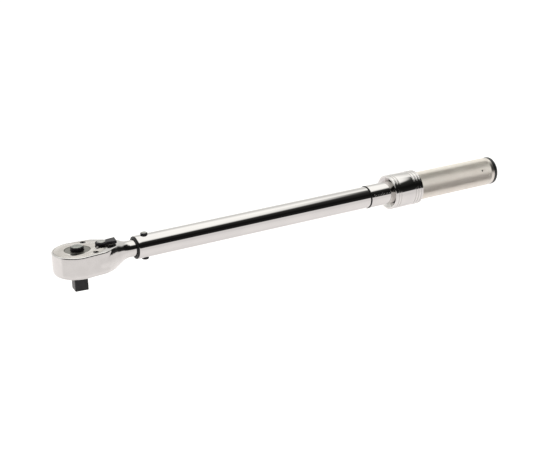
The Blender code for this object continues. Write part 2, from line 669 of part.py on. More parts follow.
def make_lever():
    low = COVER_TOP + CLEARANCE
    top = low + LEVER_BASE_HEIGHT
    shaft_end = PAWL_FLOOR_Z - LEVER_SEAT_DEPTH + CLEARANCE
    recess = top - 0.8 * MM
    rim = LEVER_CAP_RADIUS + CLEARANCE
    profile = [(shaft_end, 0), (shaft_end, LEVER_SHAFT_RADIUS), (low, LEVER_SHAFT_RADIUS),
               (low, LEVER_BASE_RADIUS), (top - 0.6 * MM, LEVER_BASE_RADIUS),
               (top, LEVER_BASE_RADIUS - 0.6 * MM), (top, rim), (recess, rim), (recess, 0)]
    place = (LEVER_X, 0, 0)
    turn = (0, 0, LEVER_REST)
    lever = turned("reversing_lever", profile, MEDIUM, at=place, turn=turn)
    join(lever, thumb_paddle(place, turn, low, top))
    finish_with(lever, BLACK_OXIDE)

    edge = top + 0.2 * MM
    dome = [(recess + CLEARANCE, 0), (recess + CLEARANCE, LEVER_CAP_RADIUS), (edge, LEVER_CAP_RADIUS)]
    for i in range(1, 6):
        share = i / 5 * math.pi / 2
        dome.append((edge + LEVER_CAP_DOME * math.sin(share),
                     LEVER_CAP_RADIUS * math.cos(share) if i < 5 else 0))
    cap = turned("lever_cap", dome, SMALL, at=place)
    finish_with(cap, STEEL)
    return lever, cap


def thumb_paddle(place, turn, low, top):
    """A tapered block that widens and rises from the lever's base to its tip."""
    shape = bmesh.new()
    bmesh.ops.create_cube(shape, size=2)
    root_x = LEVER_CAP_RADIUS + 2 * CLEARANCE
    for vert in shape.verts:
        at_tip = vert.co.x > 0
        x = LEVER_REACH if at_tip else root_x
        half = (LEVER_TIP_WIDTH if at_tip else LEVER_ROOT_WIDTH) / 2
        under = COVER_TOP + LEVER_TIP_GAP if at_tip else low + 0.1 * MM
        over = COVER_TOP + LEVER_TIP_RISE if at_tip else top + 0.5 * MM
        vert.co = (x, math.copysign(half, vert.co.y), over if vert.co.z > 0 else under)
    mesh = bpy.data.meshes.new("paddle_shape")
    shape.to_mesh(mesh)
    shape.free()
    paddle = add_object("paddle_shape", mesh, place, turn)
    bevel(paddle, 0.7 * MM, 2)
    return paddle


def make_pawl():
    horn = [turned_by(point, PAWL_ROCK) for point in pawl_horn()]
    upper = [(x, -y) for x, y in horn]
    front = [(GEAR_TIP_RADIUS + 1 * MM - LEVER_X, 0)]
    outline = front + upper + arc(0, 0, PAWL_HUB_RADIUS, 115, -115, 18) + horn[::-1]
    low = PAWL_FLOOR_Z + CLEARANCE
    place = (LEVER_X, 0, 0)
    pawl = plate("pawl", outline, low, low + PAWL_THICKNESS, at=place, turn=(0, 0, -PAWL_ROCK))
    cut(pawl, post("pawl_bore", LEVER_SHAFT_RADIUS + CLEARANCE, low - 1 * MM,
                   low + PAWL_THICKNESS + 1 * MM, at=place))
    finish_with(pawl, STEEL)
    return pawl


def make_detent():
    x = LEVER_X + DETENT_REACH
    centre = COVER_TOP + CLEARANCE / 2 - DETENT_BALL
    item = ball("detent_ball", DETENT_BALL, (x, 0, centre), 12, 8)
    finish_with(item, STEEL)
    low = COVER_SEAT - DETENT_DEPTH + CLEARANCE / 2
    length = centre - DETENT_BALL - CLEARANCE / 2 - low
    mean = DETENT_BALL - DETENT_WIRE - 0.1 * MM
    spring = coil("detent_spring", mean, DETENT_WIRE, 5, length, at=(x, 0, low), turn=(0, 0, 0))
    finish_with(spring, SPRING_STEEL)
    return item, spring


# ---- Tube and click mechanism ----------------------------------------------------------------
def make_tube():
    front = TUBE_FRONT_X
    profile = [(front, TUBE_RADIUS - TUBE_CHAMFER), (front + TUBE_CHAMFER, TUBE_RADIUS),
               (NECKED_X, TUBE_RADIUS), (NECKED_X, TUBE_NECKED), (TUBE_END_X, TUBE_NECKED),
               (TUBE_END_X, TUBE_BORE), (front, TUBE_BORE)]
    tube = turned_along_tool("tube", profile, FINE, hollow=True)
    reach = TUBE_RADIUS + 2 * MM
    cut(tube, post("pin_hole", PIN_RADIUS + CLEARANCE / 2, -reach, reach, at=(PIVOT_X, 0, 0)))
    finish_with(tube, CHROME)
    return tube


def make_pivot_pin():
    reach = TUBE_RADIUS + PIN_PROUD
    end = [(reach - PIN_EDGE, PIN_RADIUS), (reach, PIN_RADIUS - PIN_EDGE), (reach, 0)]
    profile = [(-along, radius) for along, radius in reversed(end)] + end
    pin = turned("pivot_pin", profile, SMALL, at=(PIVOT_X, 0, 0))
    finish_with(pin, SATIN)
    return pin


def make_dust_seal():
    lip = TUBE_FRONT_X - SEAL_WIDTH
    flange = TUBE_FRONT_X - SEAM
    end = TUBE_FRONT_X + SEAL_DEPTH
    spigot = TUBE_BORE - CLEARANCE / 2
    edge = 0.4 * MM
    profile = [(lip, SEAL_OUTER - edge), (lip + edge, SEAL_OUTER), (flange, SEAL_OUTER),
               (flange, spigot), (end, spigot), (end, SEAL_INNER), (lip, SEAL_INNER)]
    seal = turned_along_tool("dust_seal", profile, MEDIUM, hollow=True)
    finish_with(seal, RUBBER)
    return seal


def make_toggle():
    """Tilting block between the arm and the plunger, round at both ends."""
    length = TOGGLE_LENGTH
    outline = (arc(0, 0, TOGGLE_RADIUS, 90, -90, 12) + arc(-length, 0, TOGGLE_RADIUS, -90, -270, 12))
    toggle = plate("toggle_block", outline, -TOGGLE_HEIGHT / 2, TOGGLE_HEIGHT / 2,
                   at=(PLUNGER_SEAT_X, 0, 0))
    finish_with(toggle, STEEL)
    return toggle


def make_plunger():
    edge = 0.5 * MM
    end = PLUNGER_END_X
    tip = end + SPIGOT_LENGTH
    profile = [(PLUNGER_X, 0), (PLUNGER_X, TUBE_FIT - edge), (PLUNGER_X + edge, TUBE_FIT),
               (end, TUBE_FIT), (end, SPIGOT_RADIUS), (tip - edge, SPIGOT_RADIUS),
               (tip, SPIGOT_RADIUS - edge), (tip, 0)]
    plunger = turned_along_tool("plunger", profile, MEDIUM)
    cut(plunger, post("plunger_seat", TOGGLE_RADIUS + CLEARANCE, -TOGGLE_HEIGHT / 2 - CLEARANCE,
                      TOGGLE_HEIGHT / 2 + CLEARANCE, at=(PLUNGER_SEAT_X, 0, 0)))
    finish_with(plunger, STEEL)
    return plunger


def make_main_spring():
    start = PLUNGER_END_X + CLEARANCE
    spring = coil("main_spring", SPRING_MEAN, SPRING_WIRE, SPRING_TURNS,
                  SEAT_X - CLEARANCE - start, at=(start, 0, 0), turn=(0, math.pi / 2, 0))
    finish_with(spring, SPRING_STEEL)
    return spring


def make_spring_seat():
    edge = 0.5 * MM
    tip = SEAT_X - SPIGOT_LENGTH
    end = SEAT_X + SEAT_LENGTH
    profile = [(tip, 0), (tip, SPIGOT_RADIUS - edge), (tip + edge, SPIGOT_RADIUS),
               (SEAT_X, SPIGOT_RADIUS), (SEAT_X, TUBE_FIT), (end, TUBE_FIT), (end, 0)]
    seat = turned_along_tool("spring_seat", profile, MEDIUM)
    finish_with(seat, STEEL)
    return seat


def make_thrust_washer():
    end = WASHER_X + WASHER_LENGTH
    bore = SCREW_RADIUS / 2
    profile = [(WASHER_X, TUBE_FIT), (end, TUBE_FIT), (end, bore), (WASHER_X, bore)]
    washer = turned_along_tool("thrust_washer", profile, MEDIUM, hollow=True)
    finish_with(washer, BRONZE)
    return washer


def make_adjusting_nut():
    end = NUT_X + NUT_LENGTH
    bore = SCREW_RADIUS + CLEARANCE
    profile = [(NUT_X, TUBE_FIT), (end, TUBE_FIT), (end, bore), (NUT_X, bore)]
    nut = turned_along_tool("adjusting_nut", profile, MEDIUM, hollow=True)
    finish_with(nut, BRONZE)
    return nut


def make_scale_sleeve():
    profile = [(SLEEVE_X, SLEEVE_RADIUS - 0.3 * MM), (SLEEVE_X + 0.3 * MM, SLEEVE_RADIUS),
               (TUBE_END_X, SLEEVE_RADIUS), (TUBE_END_X, SLEEVE_BORE), (SLEEVE_X, SLEEVE_BORE)]
    sleeve = turned_along_tool("scale_sleeve", profile, FINE, hollow=True)
    finish_with(sleeve, CHROME)
    return sleeve


def make_sleeve_ring():
    end = RING_X + RING_WIDTH
    outer = SLEEVE_RADIUS + RING_PROUD
    profile = [(RING_X, outer - 0.2 * MM), (RING_X + 0.2 * MM, outer), (end, outer),
               (end, SLEEVE_BORE), (RING_X, SLEEVE_BORE)]
    ring = turned_along_tool("sleeve_ring", profile, FINE, hollow=True)
    finish_with(ring, RUBBER)
    return ring


# ---- Handle and lock collar ------------------------------------------------------------------
COLLAR_BANDS = (               # start from the collar's front, and width
    (0.0 * MM, 3.3 * MM),
    (3.9 * MM, 2.3 * MM),
    (6.8 * MM, 18.0 * MM),
    (25.4 * MM, 2.7 * MM),
    (28.8 * MM, 2.8 * MM),
    (32.3 * MM, 2.6 * MM),
)


def make_lock_collar():
    edge = 0.4 * MM
    outer = []
    for start, width in COLLAR_BANDS:
        low = COLLAR_X + start
        high = low + width
        floor = COLLAR_RADIUS - GROOVE_DEPTH
        outer += [(low, floor), (low + edge, COLLAR_RADIUS), (high - edge, COLLAR_RADIUS), (high, floor)]
    rib_end = COLLAR_RIB_X + COLLAR_RIB
    web_x = COLLAR_X + COLLAR_MOUTH
    web_end = web_x + COLLAR_WEB
    release_bore = SNAP_RING_RADIUS + CLEARANCE
    bore = [(COLLAR_END_X, COLLAR_REAR_BORE), (rib_end, COLLAR_REAR_BORE), (rib_end, RIB_BORE),
            (COLLAR_RIB_X, RIB_BORE), (COLLAR_RIB_X, release_bore), (web_end, release_bore),
            (web_end, WEB_BORE), (web_x, WEB_BORE), (COLLAR_X, COLLAR_RADIUS - 1.8 * MM)]
    collar = turned_along_tool("lock_collar", outer + bore, FINE, hollow=True)
    finish_with(collar, CHROME)
    return collar


def lock_ball_angles():
    return [2 * math.pi * i / LOCK_BALLS for i in range(LOCK_BALLS)]


def make_lock_balls():
    made = []
    for i, angle in enumerate(lock_ball_angles()):
        place = (LOCK_BALL_X, -LOCK_BALL_OUT * math.sin(angle), LOCK_BALL_OUT * math.cos(angle))
        item = ball(f"lock_ball_{i + 1}", LOCK_BALL, place, 12, 8)
        finish_with(item, STEEL)
        made.append(item)
    return made


def make_snap_ring():
    end = SNAP_RING_X + SNAP_RING_WIDTH
    inner = SNAP_GROOVE + CLEARANCE / 2
    profile = [(SNAP_RING_X, SNAP_RING_RADIUS), (end, SNAP_RING_RADIUS), (end, inner),
               (SNAP_RING_X, inner)]
    ring = turned_along_tool("snap_ring", profile, MEDIUM, hollow=True)
    half = 2.5 * MM
    gap = [(SNAP_RING_X - half, -half), (end + half, -half), (end + half, half), (SNAP_RING_X - half, half)]
    cut(ring, plate("ring_gap", gap, -COLLAR_RADIUS, 0))
    finish_with(ring, SPRING_STEEL)
    return ring


def make_lock_spring():
    start = COLLAR_RIB_X + COLLAR_RIB + CLEARANCE
    mean = (NOSE_RADIUS + COLLAR_REAR_BORE) / 2
    spring = coil("lock_spring", mean, LOCK_WIRE, LOCK_TURNS, NOSE_END_X - CLEARANCE - start,
                  at=(start, 0, 0), turn=(0, math.pi / 2, 0), per_turn=14)
    finish_with(spring, SPRING_STEEL)
    return spring


def roll_pin_hole(name, reach):
    return post(name, ROLL_PIN_RADIUS + CLEARANCE / 2, -reach, reach, at=(ROLL_PIN_X, 0, 0),
                turn=(math.pi / 2 - ROLL_PIN_TILT, 0, 0), steps=14)


def make_handle():
    edge = 0.4 * MM
    groove = SNAP_RING_X - CLEARANCE / 2
    groove_end = SNAP_RING_X + SNAP_RING_WIDTH + CLEARANCE / 2
    land = HANDLE_RADIUS - HANDLE_LAND_STEP
    land_x = HANDLE_END_X - HANDLE_LAND
    profile = [(NOSE_X, NOSE_RADIUS), (groove, NOSE_RADIUS), (groove, SNAP_GROOVE),
               (groove_end, SNAP_GROOVE), (groove_end, NOSE_RADIUS), (NOSE_END_X, NOSE_RADIUS),
               (NOSE_END_X, HANDLE_RADIUS - edge), (NOSE_END_X + edge, HANDLE_RADIUS),
               (land_x, HANDLE_RADIUS), (land_x, land), (HANDLE_END_X - edge, land),
               (HANDLE_END_X, land - edge), (HANDLE_END_X, HANDLE_BORE), (NOSE_X, HANDLE_BORE)]
    handle = turned_along_tool("handle", profile, FINE, hollow=True)
    for i, angle in enumerate(lock_ball_angles()):
        cut(handle, post(f"lock_hole_{i + 1}", LOCK_BALL + CLEARANCE / 2, HANDLE_BORE - 1 * MM,
                         NOSE_RADIUS + 1 * MM, at=(LOCK_BALL_X, 0, 0), turn=(angle, 0, 0), steps=24))
    cut(handle, roll_pin_hole("handle_pin_hole", HANDLE_RADIUS + 1 * MM))
    finish_with(handle, KNURL)
    return handle


def make_adjusting_screw():
    edge = 0.5 * MM
    profile = [(SCREW_X, 0), (SCREW_X, SCREW_RADIUS - edge), (SCREW_X + edge, SCREW_RADIUS),
               (SCREW_END_X - edge, SCREW_RADIUS), (SCREW_END_X, SCREW_RADIUS - edge),
               (SCREW_END_X, 0)]
    screw = turned_along_tool("adjusting_screw", profile, MEDIUM)
    cut(screw, roll_pin_hole("screw_pin_hole", SCREW_RADIUS + 1 * MM))
    finish_with(screw, STEEL)
    return screw


def make_handle_plug():
    outer = HANDLE_BORE - CLEARANCE
    bore = SCREW_RADIUS + CLEARANCE
    profile = [(PLUG_X, outer), (PLUG_END_X, outer), (PLUG_END_X, bore), (PLUG_X, bore)]
    plug = turned_along_tool("handle_plug", profile, MEDIUM, hollow=True)
    cut(plug, roll_pin_hole("plug_pin_hole", outer + 1 * MM))
    finish_with(plug, STEEL)
    return plug


def make_roll_pin():
    reach = HANDLE_RADIUS - ROLL_PIN_SINK
    pin = post("roll_pin", ROLL_PIN_RADIUS, -reach, reach, at=(ROLL_PIN_X, 0, 0),
               turn=(math.pi / 2 - ROLL_PIN_TILT, 0, 0), steps=16)
    finish_with(pin, SPRING_STEEL)
    return pin


def make_end_nut():
    across = END_NUT_FLATS / 2 / math.cos(math.radians(30))
    half = END_NUT_LENGTH / 2
    middle = (END_NUT_X + half, 0, 0)
    turn = (0, math.pi / 2, 0)
    hexagon = [(across * math.cos(math.radians(60 * i)), across * math.sin(math.radians(60 * i)))
               for i in range(6)]
    nut = plate("end_nut", hexagon, -half, half, at=middle, turn=turn)
    cut(nut, post("end_nut_bore", SCREW_RADIUS + CLEARANCE, -half - 1 * MM, half + 1 * MM,
                  at=middle, turn=turn))
    finish_with(nut, STEEL)
    return nut


def make_end_cap():
    spigot_x = SCREW_END_X + 2 * CLEARANCE
    spigot = HANDLE_BORE - CLEARANCE
    face = HANDLE_END_X + SEAM
    end = face + CAP_LENGTH
    profile = [(spigot_x, 0), (spigot_x, spigot), (face, spigot), (face, HANDLE_RADIUS)]
    profile += [(end - CAP_ROUND + CAP_ROUND * math.sin(a), HANDLE_RADIUS - CAP_ROUND + CAP_ROUND * math.cos(a))
                for a in (math.radians(22.5 * i) for i in range(5))]
    profile.append((end, 0))
    cap = turned_along_tool("end_cap", profile, FINE)
    finish_with(cap, BLACK_PLASTIC)
    return cap


# ---- Assembly --------------------------------------------------------------------------------
def pivot(name, at, items, parent=None):
    """An empty on a joint's axis, carrying the pieces that move about it."""
    empty = bpy.data.objects.new(name, None)
    empty.location = (at[0], at[1], at[2] + AXIS_HEIGHT)
    empty.empty_display_size = 10 * MM
    PARTS.objects.link(empty)
    bpy.context.view_layer.update()
    if parent is not None:
        hang(empty, parent)
    for item in items:
        hang(item, empty)
    return empty


def hang(item, parent):
    """Parent an object and leave it where it stands."""
    item.parent = parent
    item.matrix_parent_inverse = parent.matrix_world.inverted()
    bpy.context.view_layer.update()


clear_scene()
PARTS = new_collection("torque_wrench")
CUTTERS = new_collection("cutters")


def build():
    head = [make_head_body(), make_cover(), *make_cover_screws(), *make_detent()]
    head_pivot = pivot("head_pivot", (PIVOT_X, 0, 0), head)
    drive_pivot = pivot("drive_pivot", (0, 0, 0), [make_drive_anvil(), make_button_spring()],
                        head_pivot)
    pivot("button_slide", (0, 0, 0), [*make_release_button(), make_release_rod()], drive_pivot)
    pivot("ball_slide", (0, 0, BALL_Z), [make_retaining_ball()], drive_pivot)
    pivot("lever_pivot", (LEVER_X, 0, 0), make_lever(), head_pivot)
    pivot("pawl_pivot", (LEVER_X, 0, 0), [make_pawl()], head_pivot)

    make_tube()
    make_pivot_pin()
    make_dust_seal()
    make_scale_sleeve()
    make_sleeve_ring()
    make_adjusting_nut()
    make_main_spring()
    plunger_slide = pivot("plunger_slide", (PLUNGER_X, 0, 0), [make_plunger()])
    pivot("toggle_pivot", (PLUNGER_SEAT_X, 0, 0), [make_toggle()], plunger_slide)

    seat_slide = pivot("seat_slide", (SEAT_X, 0, 0), [make_spring_seat(), make_thrust_washer()])
    grip = [make_handle(), make_adjusting_screw(), make_handle_plug(), make_roll_pin(),
            make_end_nut(), make_end_cap(), make_snap_ring(), make_lock_spring(),
            *make_lock_balls()]
    handle_turn = pivot("handle_turn", (NOSE_X, 0, 0), grip, seat_slide)
    pivot("collar_slide", (COLLAR_X, 0, 0), [make_lock_collar()], handle_turn)


build()
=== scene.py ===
# %% [markdown]
# # Click torque wrench
# A half-inch torque wrench with a reversible ratchet head, a chromed tube, a scale sleeve, a lock
# collar and a knurled steel handle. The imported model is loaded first. Each new piece is built
# where its plain version lies, and takes its place. The plain piece's box gives the place and the
# outside size. Bores, grooves and curves, which a box can't show, are written out as numbers.

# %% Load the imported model
import math

import bmesh
import bpy
from mathutils import Matrix, Vector


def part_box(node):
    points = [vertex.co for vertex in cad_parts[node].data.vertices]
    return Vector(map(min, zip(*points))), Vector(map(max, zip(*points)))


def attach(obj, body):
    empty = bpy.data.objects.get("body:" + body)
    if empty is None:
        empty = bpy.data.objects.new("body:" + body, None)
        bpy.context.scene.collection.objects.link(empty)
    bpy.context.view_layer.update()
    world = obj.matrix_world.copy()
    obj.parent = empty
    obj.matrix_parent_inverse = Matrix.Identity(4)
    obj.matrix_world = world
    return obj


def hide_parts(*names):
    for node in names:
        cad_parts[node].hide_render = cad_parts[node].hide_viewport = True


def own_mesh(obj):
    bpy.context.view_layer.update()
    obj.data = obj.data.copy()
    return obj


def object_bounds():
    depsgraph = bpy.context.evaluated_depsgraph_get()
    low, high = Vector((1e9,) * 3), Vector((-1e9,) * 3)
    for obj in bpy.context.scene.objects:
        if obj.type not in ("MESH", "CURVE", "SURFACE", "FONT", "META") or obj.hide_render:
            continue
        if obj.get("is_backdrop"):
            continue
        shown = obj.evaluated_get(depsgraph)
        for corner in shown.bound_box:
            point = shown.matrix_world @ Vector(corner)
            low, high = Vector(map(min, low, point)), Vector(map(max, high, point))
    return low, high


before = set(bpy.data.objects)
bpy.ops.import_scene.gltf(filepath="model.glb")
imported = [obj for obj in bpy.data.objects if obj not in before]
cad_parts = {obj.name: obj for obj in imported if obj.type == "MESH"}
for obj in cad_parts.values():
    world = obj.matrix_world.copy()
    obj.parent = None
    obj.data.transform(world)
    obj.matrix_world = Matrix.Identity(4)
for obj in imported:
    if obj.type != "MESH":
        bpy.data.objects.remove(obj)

cad_box = [list(corner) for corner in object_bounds()]
MM = 0.001
print("nodes:", len(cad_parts))

# %% [markdown]
# The tube's middle line runs along +X. Its height comes from the tube's own box, and every turned
# piece below is measured from that line. Lengths along the tool are measured from the drive.

# %% Find the tool's middle line
X, Y, Z = 0, 1, 2


def middle_of(box, axis=X):
    """The middle of a box along an axis."""
    return (box[0][axis] + box[1][axis]) / 2


def half_of(box, axis=X):
    """Half of a box's size along an axis."""
    return (box[1][axis] - box[0][axis]) / 2


tube_low, tube_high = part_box("tube")
AXIS_Z = middle_of((tube_low, tube_high), Z)
COVER_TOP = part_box("cover_plate")[1].z - AXIS_Z
TUBE_RADIUS = half_of((tube_low, tube_high), Y)
LEVER_X = middle_of(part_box("lever_cap"))
print(f"middle line {AXIS_Z / MM:.1f} mm up, cover {COVER_TOP / MM:.1f} mm above it")

# %% [markdown]
# The camera stands a little over a metre away and looks down at the tool from the side, with a
# long lens, so the tool runs up to the right with little perspective. It rolls about 2 degrees.

# %% Set up the camera
FOCAL_LENGTH = 81.82          # mm
CAMERA_SPOT = (-0.38117, -1.02891, 0.42386)     # m
turn, tilt, roll = math.radians(29.90), math.radians(18.80), math.radians(-2.03)
across = Vector((math.cos(turn), -math.sin(turn), 0))
ahead = Vector((math.sin(turn) * math.cos(tilt), math.cos(turn) * math.cos(tilt), -math.sin(tilt)))
upward = across.cross(ahead)
right = across * math.cos(roll) + upward * math.sin(roll)
top = upward * math.cos(roll) - across * math.sin(roll)
lens = bpy.data.cameras.new("camera")
lens.lens = FOCAL_LENGTH
lens.clip_start = 0.01
lens.clip_end = 100
camera = bpy.data.objects.new("camera", lens)
camera.matrix_world = Matrix.Translation(CAMERA_SPOT) @ Matrix(
    (right, top, -ahead)).transposed().to_4x4()
bpy.context.collection.objects.link(camera)
bpy.context.scene.camera = camera
bpy.context.scene.view_settings.view_transform = "Standard"
print("camera at", [round(v, 3) for v in camera.location])

# %% [markdown]
# Shader trees and Geometry Nodes trees are both made of nodes and links. Three helpers build them.

# %% Small helpers for shader and geometry nodes
def add(tree, kind, *inputs, **settings):
    """Add a node, set its options, and fill its inputs in order with values or links."""
    made = tree.nodes.new(kind)
    for name, value in settings.items():
        setattr(made, name, value)
    for socket, value in zip(made.inputs, inputs):
        if isinstance(value, bpy.types.NodeSocket):
            tree.links.new(value, socket)
        elif value is not None:
            socket.default_value = value
    return made


def calc(tree, operation, *inputs):
    kind = "ShaderNodeMath"
    return add(tree, kind, *inputs, operation=operation).outputs[0]


def set_ramp(node, stops):
    """Give a colour ramp its stops, as (place from 0 to 1, colour)."""
    ramp = node.color_ramp
    while len(ramp.elements) > 1:
        ramp.elements.remove(ramp.elements[-1])
    ramp.elements[0].position, ramp.elements[0].color = stops[0][0], (*stops[0][1], 1)
    for place, colour in stops[1:]:
        ramp.elements.new(place).color = (*colour, 1)


print("node helpers ready")

# %% [markdown]
# Chrome has hardly any colour of its own: what it shows is the room. A studio for chrome has a
# white tent overhead, a pale backdrop behind the tool and a dark card in front of it, which draws
# the long black line along every polished tube. The room here is the world's own shader. It has
# two walls, one on the camera's side and one behind the tool. Each is a ramp of brightness by the
# height of the ray, and one blends into the other. The camera itself sees plain white.

# %% Build the room
FRONT = (                       # height of the ray, from -1 straight down to 1 straight up
    (-1.0, 0.95), (-0.80, 1.04), (-0.48, 1.00), (-0.26, 0.89), (-0.03, 0.90), (0.02, 0.03),
    (0.24, 0.012), (0.45, 0.007), (0.64, 0.020), (0.73, 0.035), (0.77, 0.12), (0.805, 0.85),
    (0.84, 1.20), (0.88, 1.35),
)
BACK = (
    (-1.0, 0.93), (-0.87, 0.91), (-0.80, 0.89), (-0.68, 1.06), (-0.28, 1.12), (0.08, 1.00),
    (0.32, 0.82), (0.53, 0.79), (0.70, 1.17), (0.82, 1.40), (0.90, 1.33),
)
BRIGHTEST = 1.4
WALLS_MEET = (0.02, 0.24)      # Y of the ray where the back wall starts and where it is alone
BACKDROP = 1.02
BELOW, ABOVE = (1.0, 0.965, 0.955), (1.0, 0.995, 0.965)


def wall(tree, height, table):
    """Colour of one side of the room at a height."""
    ramp = add(tree, "ShaderNodeValToRGB", height)
    set_ramp(ramp, [((z + 1) / 2, [b / BRIGHTEST * c for c in (BELOW if z < 0 else ABOVE)])
                    for z, b in table])
    return ramp.outputs["Color"]


world = bpy.data.worlds.new("room")
world.use_nodes = True
tree = world.node_tree
tree.nodes.clear()
ray = add(tree, "ShaderNodeTexCoord").outputs["Generated"]
parts = add(tree, "ShaderNodeSeparateXYZ", ray)
height = calc(tree, "MULTIPLY_ADD", parts.outputs["Z"], 0.5, 0.5)
behind = add(tree, "ShaderNodeMapRange", parts.outputs["Y"], *WALLS_MEET,
             interpolation_type="SMOOTHSTEP")
sides = add(tree, "ShaderNodeMix", data_type="RGBA")
tree.links.new(behind.outputs["Result"], sides.inputs[0])
tree.links.new(wall(tree, height, FRONT), sides.inputs[6])
tree.links.new(wall(tree, height, BACK), sides.inputs[7])
seen = add(tree, "ShaderNodeBackground", sides.outputs[2], BRIGHTEST)
white = add(tree, "ShaderNodeBackground", (1, 1, 1, 1), BACKDROP)
path = add(tree, "ShaderNodeLightPath")
mix = add(tree, "ShaderNodeMixShader", path.outputs["Is Camera Ray"], seen.outputs[0], white.outputs[0])
add(tree, "ShaderNodeOutputWorld", mix.outputs[0])
bpy.context.scene.world = world
print("room with", len(FRONT) + len(BACK), "brightness steps")

# %% [markdown]
# The tool hangs above a wide pale floor, far enough that its shadow spreads out to nothing. One
# large soft lamp overhead models the black plastic and the dark finishes. Polished faces mirror
# only the room, not the floor or the lamp.

# %% Lay the floor and hang the lamp
FLOOR_Z = -0.35
bpy.ops.mesh.primitive_grid_add(x_subdivisions=4, y_subdivisions=4, size=14, location=(0, 0, 0))
floor = bpy.context.object
floor.name = "floor"
floor.data.transform(Matrix.Translation((0.2, 2.0, FLOOR_Z)))
paint = bpy.data.materials.new("pale_floor")
paint.use_nodes = True
shader = paint.node_tree.nodes["Principled BSDF"]
shader.inputs["Roughness"].default_value = 0.9
shader.inputs["Specular IOR Level"].default_value = 0.0
shader.inputs["Emission Color"].default_value = (1, 1, 1, 1)
shader.inputs["Emission Strength"].default_value = 0.42
speckle = add(paint.node_tree, "ShaderNodeTexNoise", None, None, 3.0)
tint = add(paint.node_tree, "ShaderNodeValToRGB", speckle.outputs["Fac"])
set_ramp(tint, [(0, (0.85, 0.85, 0.85)), (1, (0.88, 0.88, 0.88))])
paint.node_tree.links.new(tint.outputs["Color"], shader.inputs["Base Color"])
floor.data.materials.append(paint)
floor.visible_glossy = False
floor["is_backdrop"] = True

lamp = bpy.data.lights.new("overhead_lamp", "AREA")
lamp.shape = "RECTANGLE"
lamp.size, lamp.size_y, lamp.energy = 1.6, 1.0, 6
hung = bpy.data.objects.new("overhead_lamp", lamp)
hung.location = (0.2, 0.1, 1.3)
hung.visible_glossy = False
bpy.context.collection.objects.link(hung)
print("floor", round(cad_box[0][2] - FLOOR_Z, 2), "m below the square's end")

# %% [markdown]
# ## Finishes
# Every finish is a Principled shader whose colour and roughness are moved about by noise, with a
# fine bump. The noise reads object coordinates, so it stays on the piece when the piece moves.
# One function makes the common part: a patchy colour, a patchy roughness and a grain.

# %% A metal, plastic or rubber with patches and grain
FINISH = {}


def new_finish(name, dark, light, rough, metallic, patch=90.0, grain=4000.0, bump=0.05, stretch=(1, 1, 1),
               shine=0.5):
    """A finish between two colours and two roughnesses; stretch pulls the grain along an axis."""
    made = bpy.data.materials.new(name)
    made.use_nodes = True
    tree = made.node_tree
    shader = tree.nodes["Principled BSDF"]
    place = add(tree, "ShaderNodeTexCoord").outputs["Object"]
    patches = add(tree, "ShaderNodeTexNoise", place, None, patch, 3.0)
    colour = add(tree, "ShaderNodeValToRGB", patches.outputs["Fac"])
    set_ramp(colour, [(0.35, dark), (0.65, light)])
    gloss = add(tree, "ShaderNodeMapRange", patches.outputs["Fac"], 0.3, 0.7, rough[0], rough[1])
    drawn = add(tree, "ShaderNodeMapping", place, None, None, stretch)
    fine = add(tree, "ShaderNodeTexNoise", drawn.outputs["Vector"], None, grain, 2.0)
    lumps = add(tree, "ShaderNodeBump", bump, 0.0001)
    tree.links.new(fine.outputs["Fac"], lumps.inputs["Height"])
    tree.links.new(colour.outputs["Color"], shader.inputs["Base Color"])
    tree.links.new(gloss.outputs["Result"], shader.inputs["Roughness"])
    tree.links.new(lumps.outputs["Normal"], shader.inputs["Normal"])
    shader.inputs["Metallic"].default_value = metallic
    shader.inputs["Specular IOR Level"].default_value = shine
    FINISH[name] = made
    print("finish", name)
    return tree, shader


# %% [markdown]
# Chrome plate is a mirror with a faint warm cast. The head is ground and then plated, which
# leaves it softer. Black oxide is a thin dark skin on steel that still shines a little. Turned
# steel keeps fine rings from the lathe, so its grain is squeezed along the tool's axis.

# %% Make the finishes
LATHE = (1, 0.1, 0.1)         # pulls the grain into rings round the tool's axis
new_finish("chrome", (0.69, 0.675, 0.665), (0.72, 0.705, 0.69), (0.02, 0.035), 1.0,
           patch=35, grain=900, bump=0.01)
new_finish("satin_chrome", (0.68, 0.665, 0.65), (0.71, 0.695, 0.68), (0.07, 0.11), 1.0,
           patch=120, grain=2500, bump=0.02)
new_finish("cover_chrome", (0.68, 0.645, 0.605), (0.74, 0.705, 0.665), (0.12, 0.17), 1.0,
           patch=140, grain=3500, bump=0.03, stretch=(1, 0.12, 1))
new_finish("black_oxide", (0.012, 0.011, 0.013), (0.024, 0.022, 0.025), (0.28, 0.42), 0.15,
           patch=260, grain=5000, bump=0.10, shine=0.22)
new_finish("steel", (0.42, 0.42, 0.40), (0.50, 0.50, 0.48), (0.22, 0.34), 1.0,
           patch=300, grain=2500, bump=0.08, stretch=LATHE)
new_finish("button_steel", (0.30, 0.31, 0.29), (0.37, 0.38, 0.36), (0.22, 0.32), 1.0,
           patch=400, grain=5000, bump=0.05)
new_finish("pin_steel", (0.40, 0.40, 0.37), (0.47, 0.47, 0.44), (0.34, 0.45), 1.0,
           patch=500, grain=5000, bump=0.08)
new_finish("spring_steel", (0.20, 0.20, 0.22), (0.30, 0.30, 0.32), (0.28, 0.42), 1.0,
           patch=300, grain=4000, bump=0.06)
new_finish("bronze", (0.50, 0.33, 0.15), (0.62, 0.44, 0.22), (0.25, 0.38), 1.0,
           patch=250, grain=2500, bump=0.06, stretch=LATHE)
new_finish("black_plastic", (0.018, 0.018, 0.019), (0.028, 0.028, 0.029), (0.34, 0.46), 0.0,
           patch=200, grain=3000, bump=0.25)
new_finish("rubber", (0.012, 0.012, 0.012), (0.022, 0.022, 0.022), (0.30, 0.42), 0.0,
           patch=250, grain=3500, bump=0.15, shine=0.18)
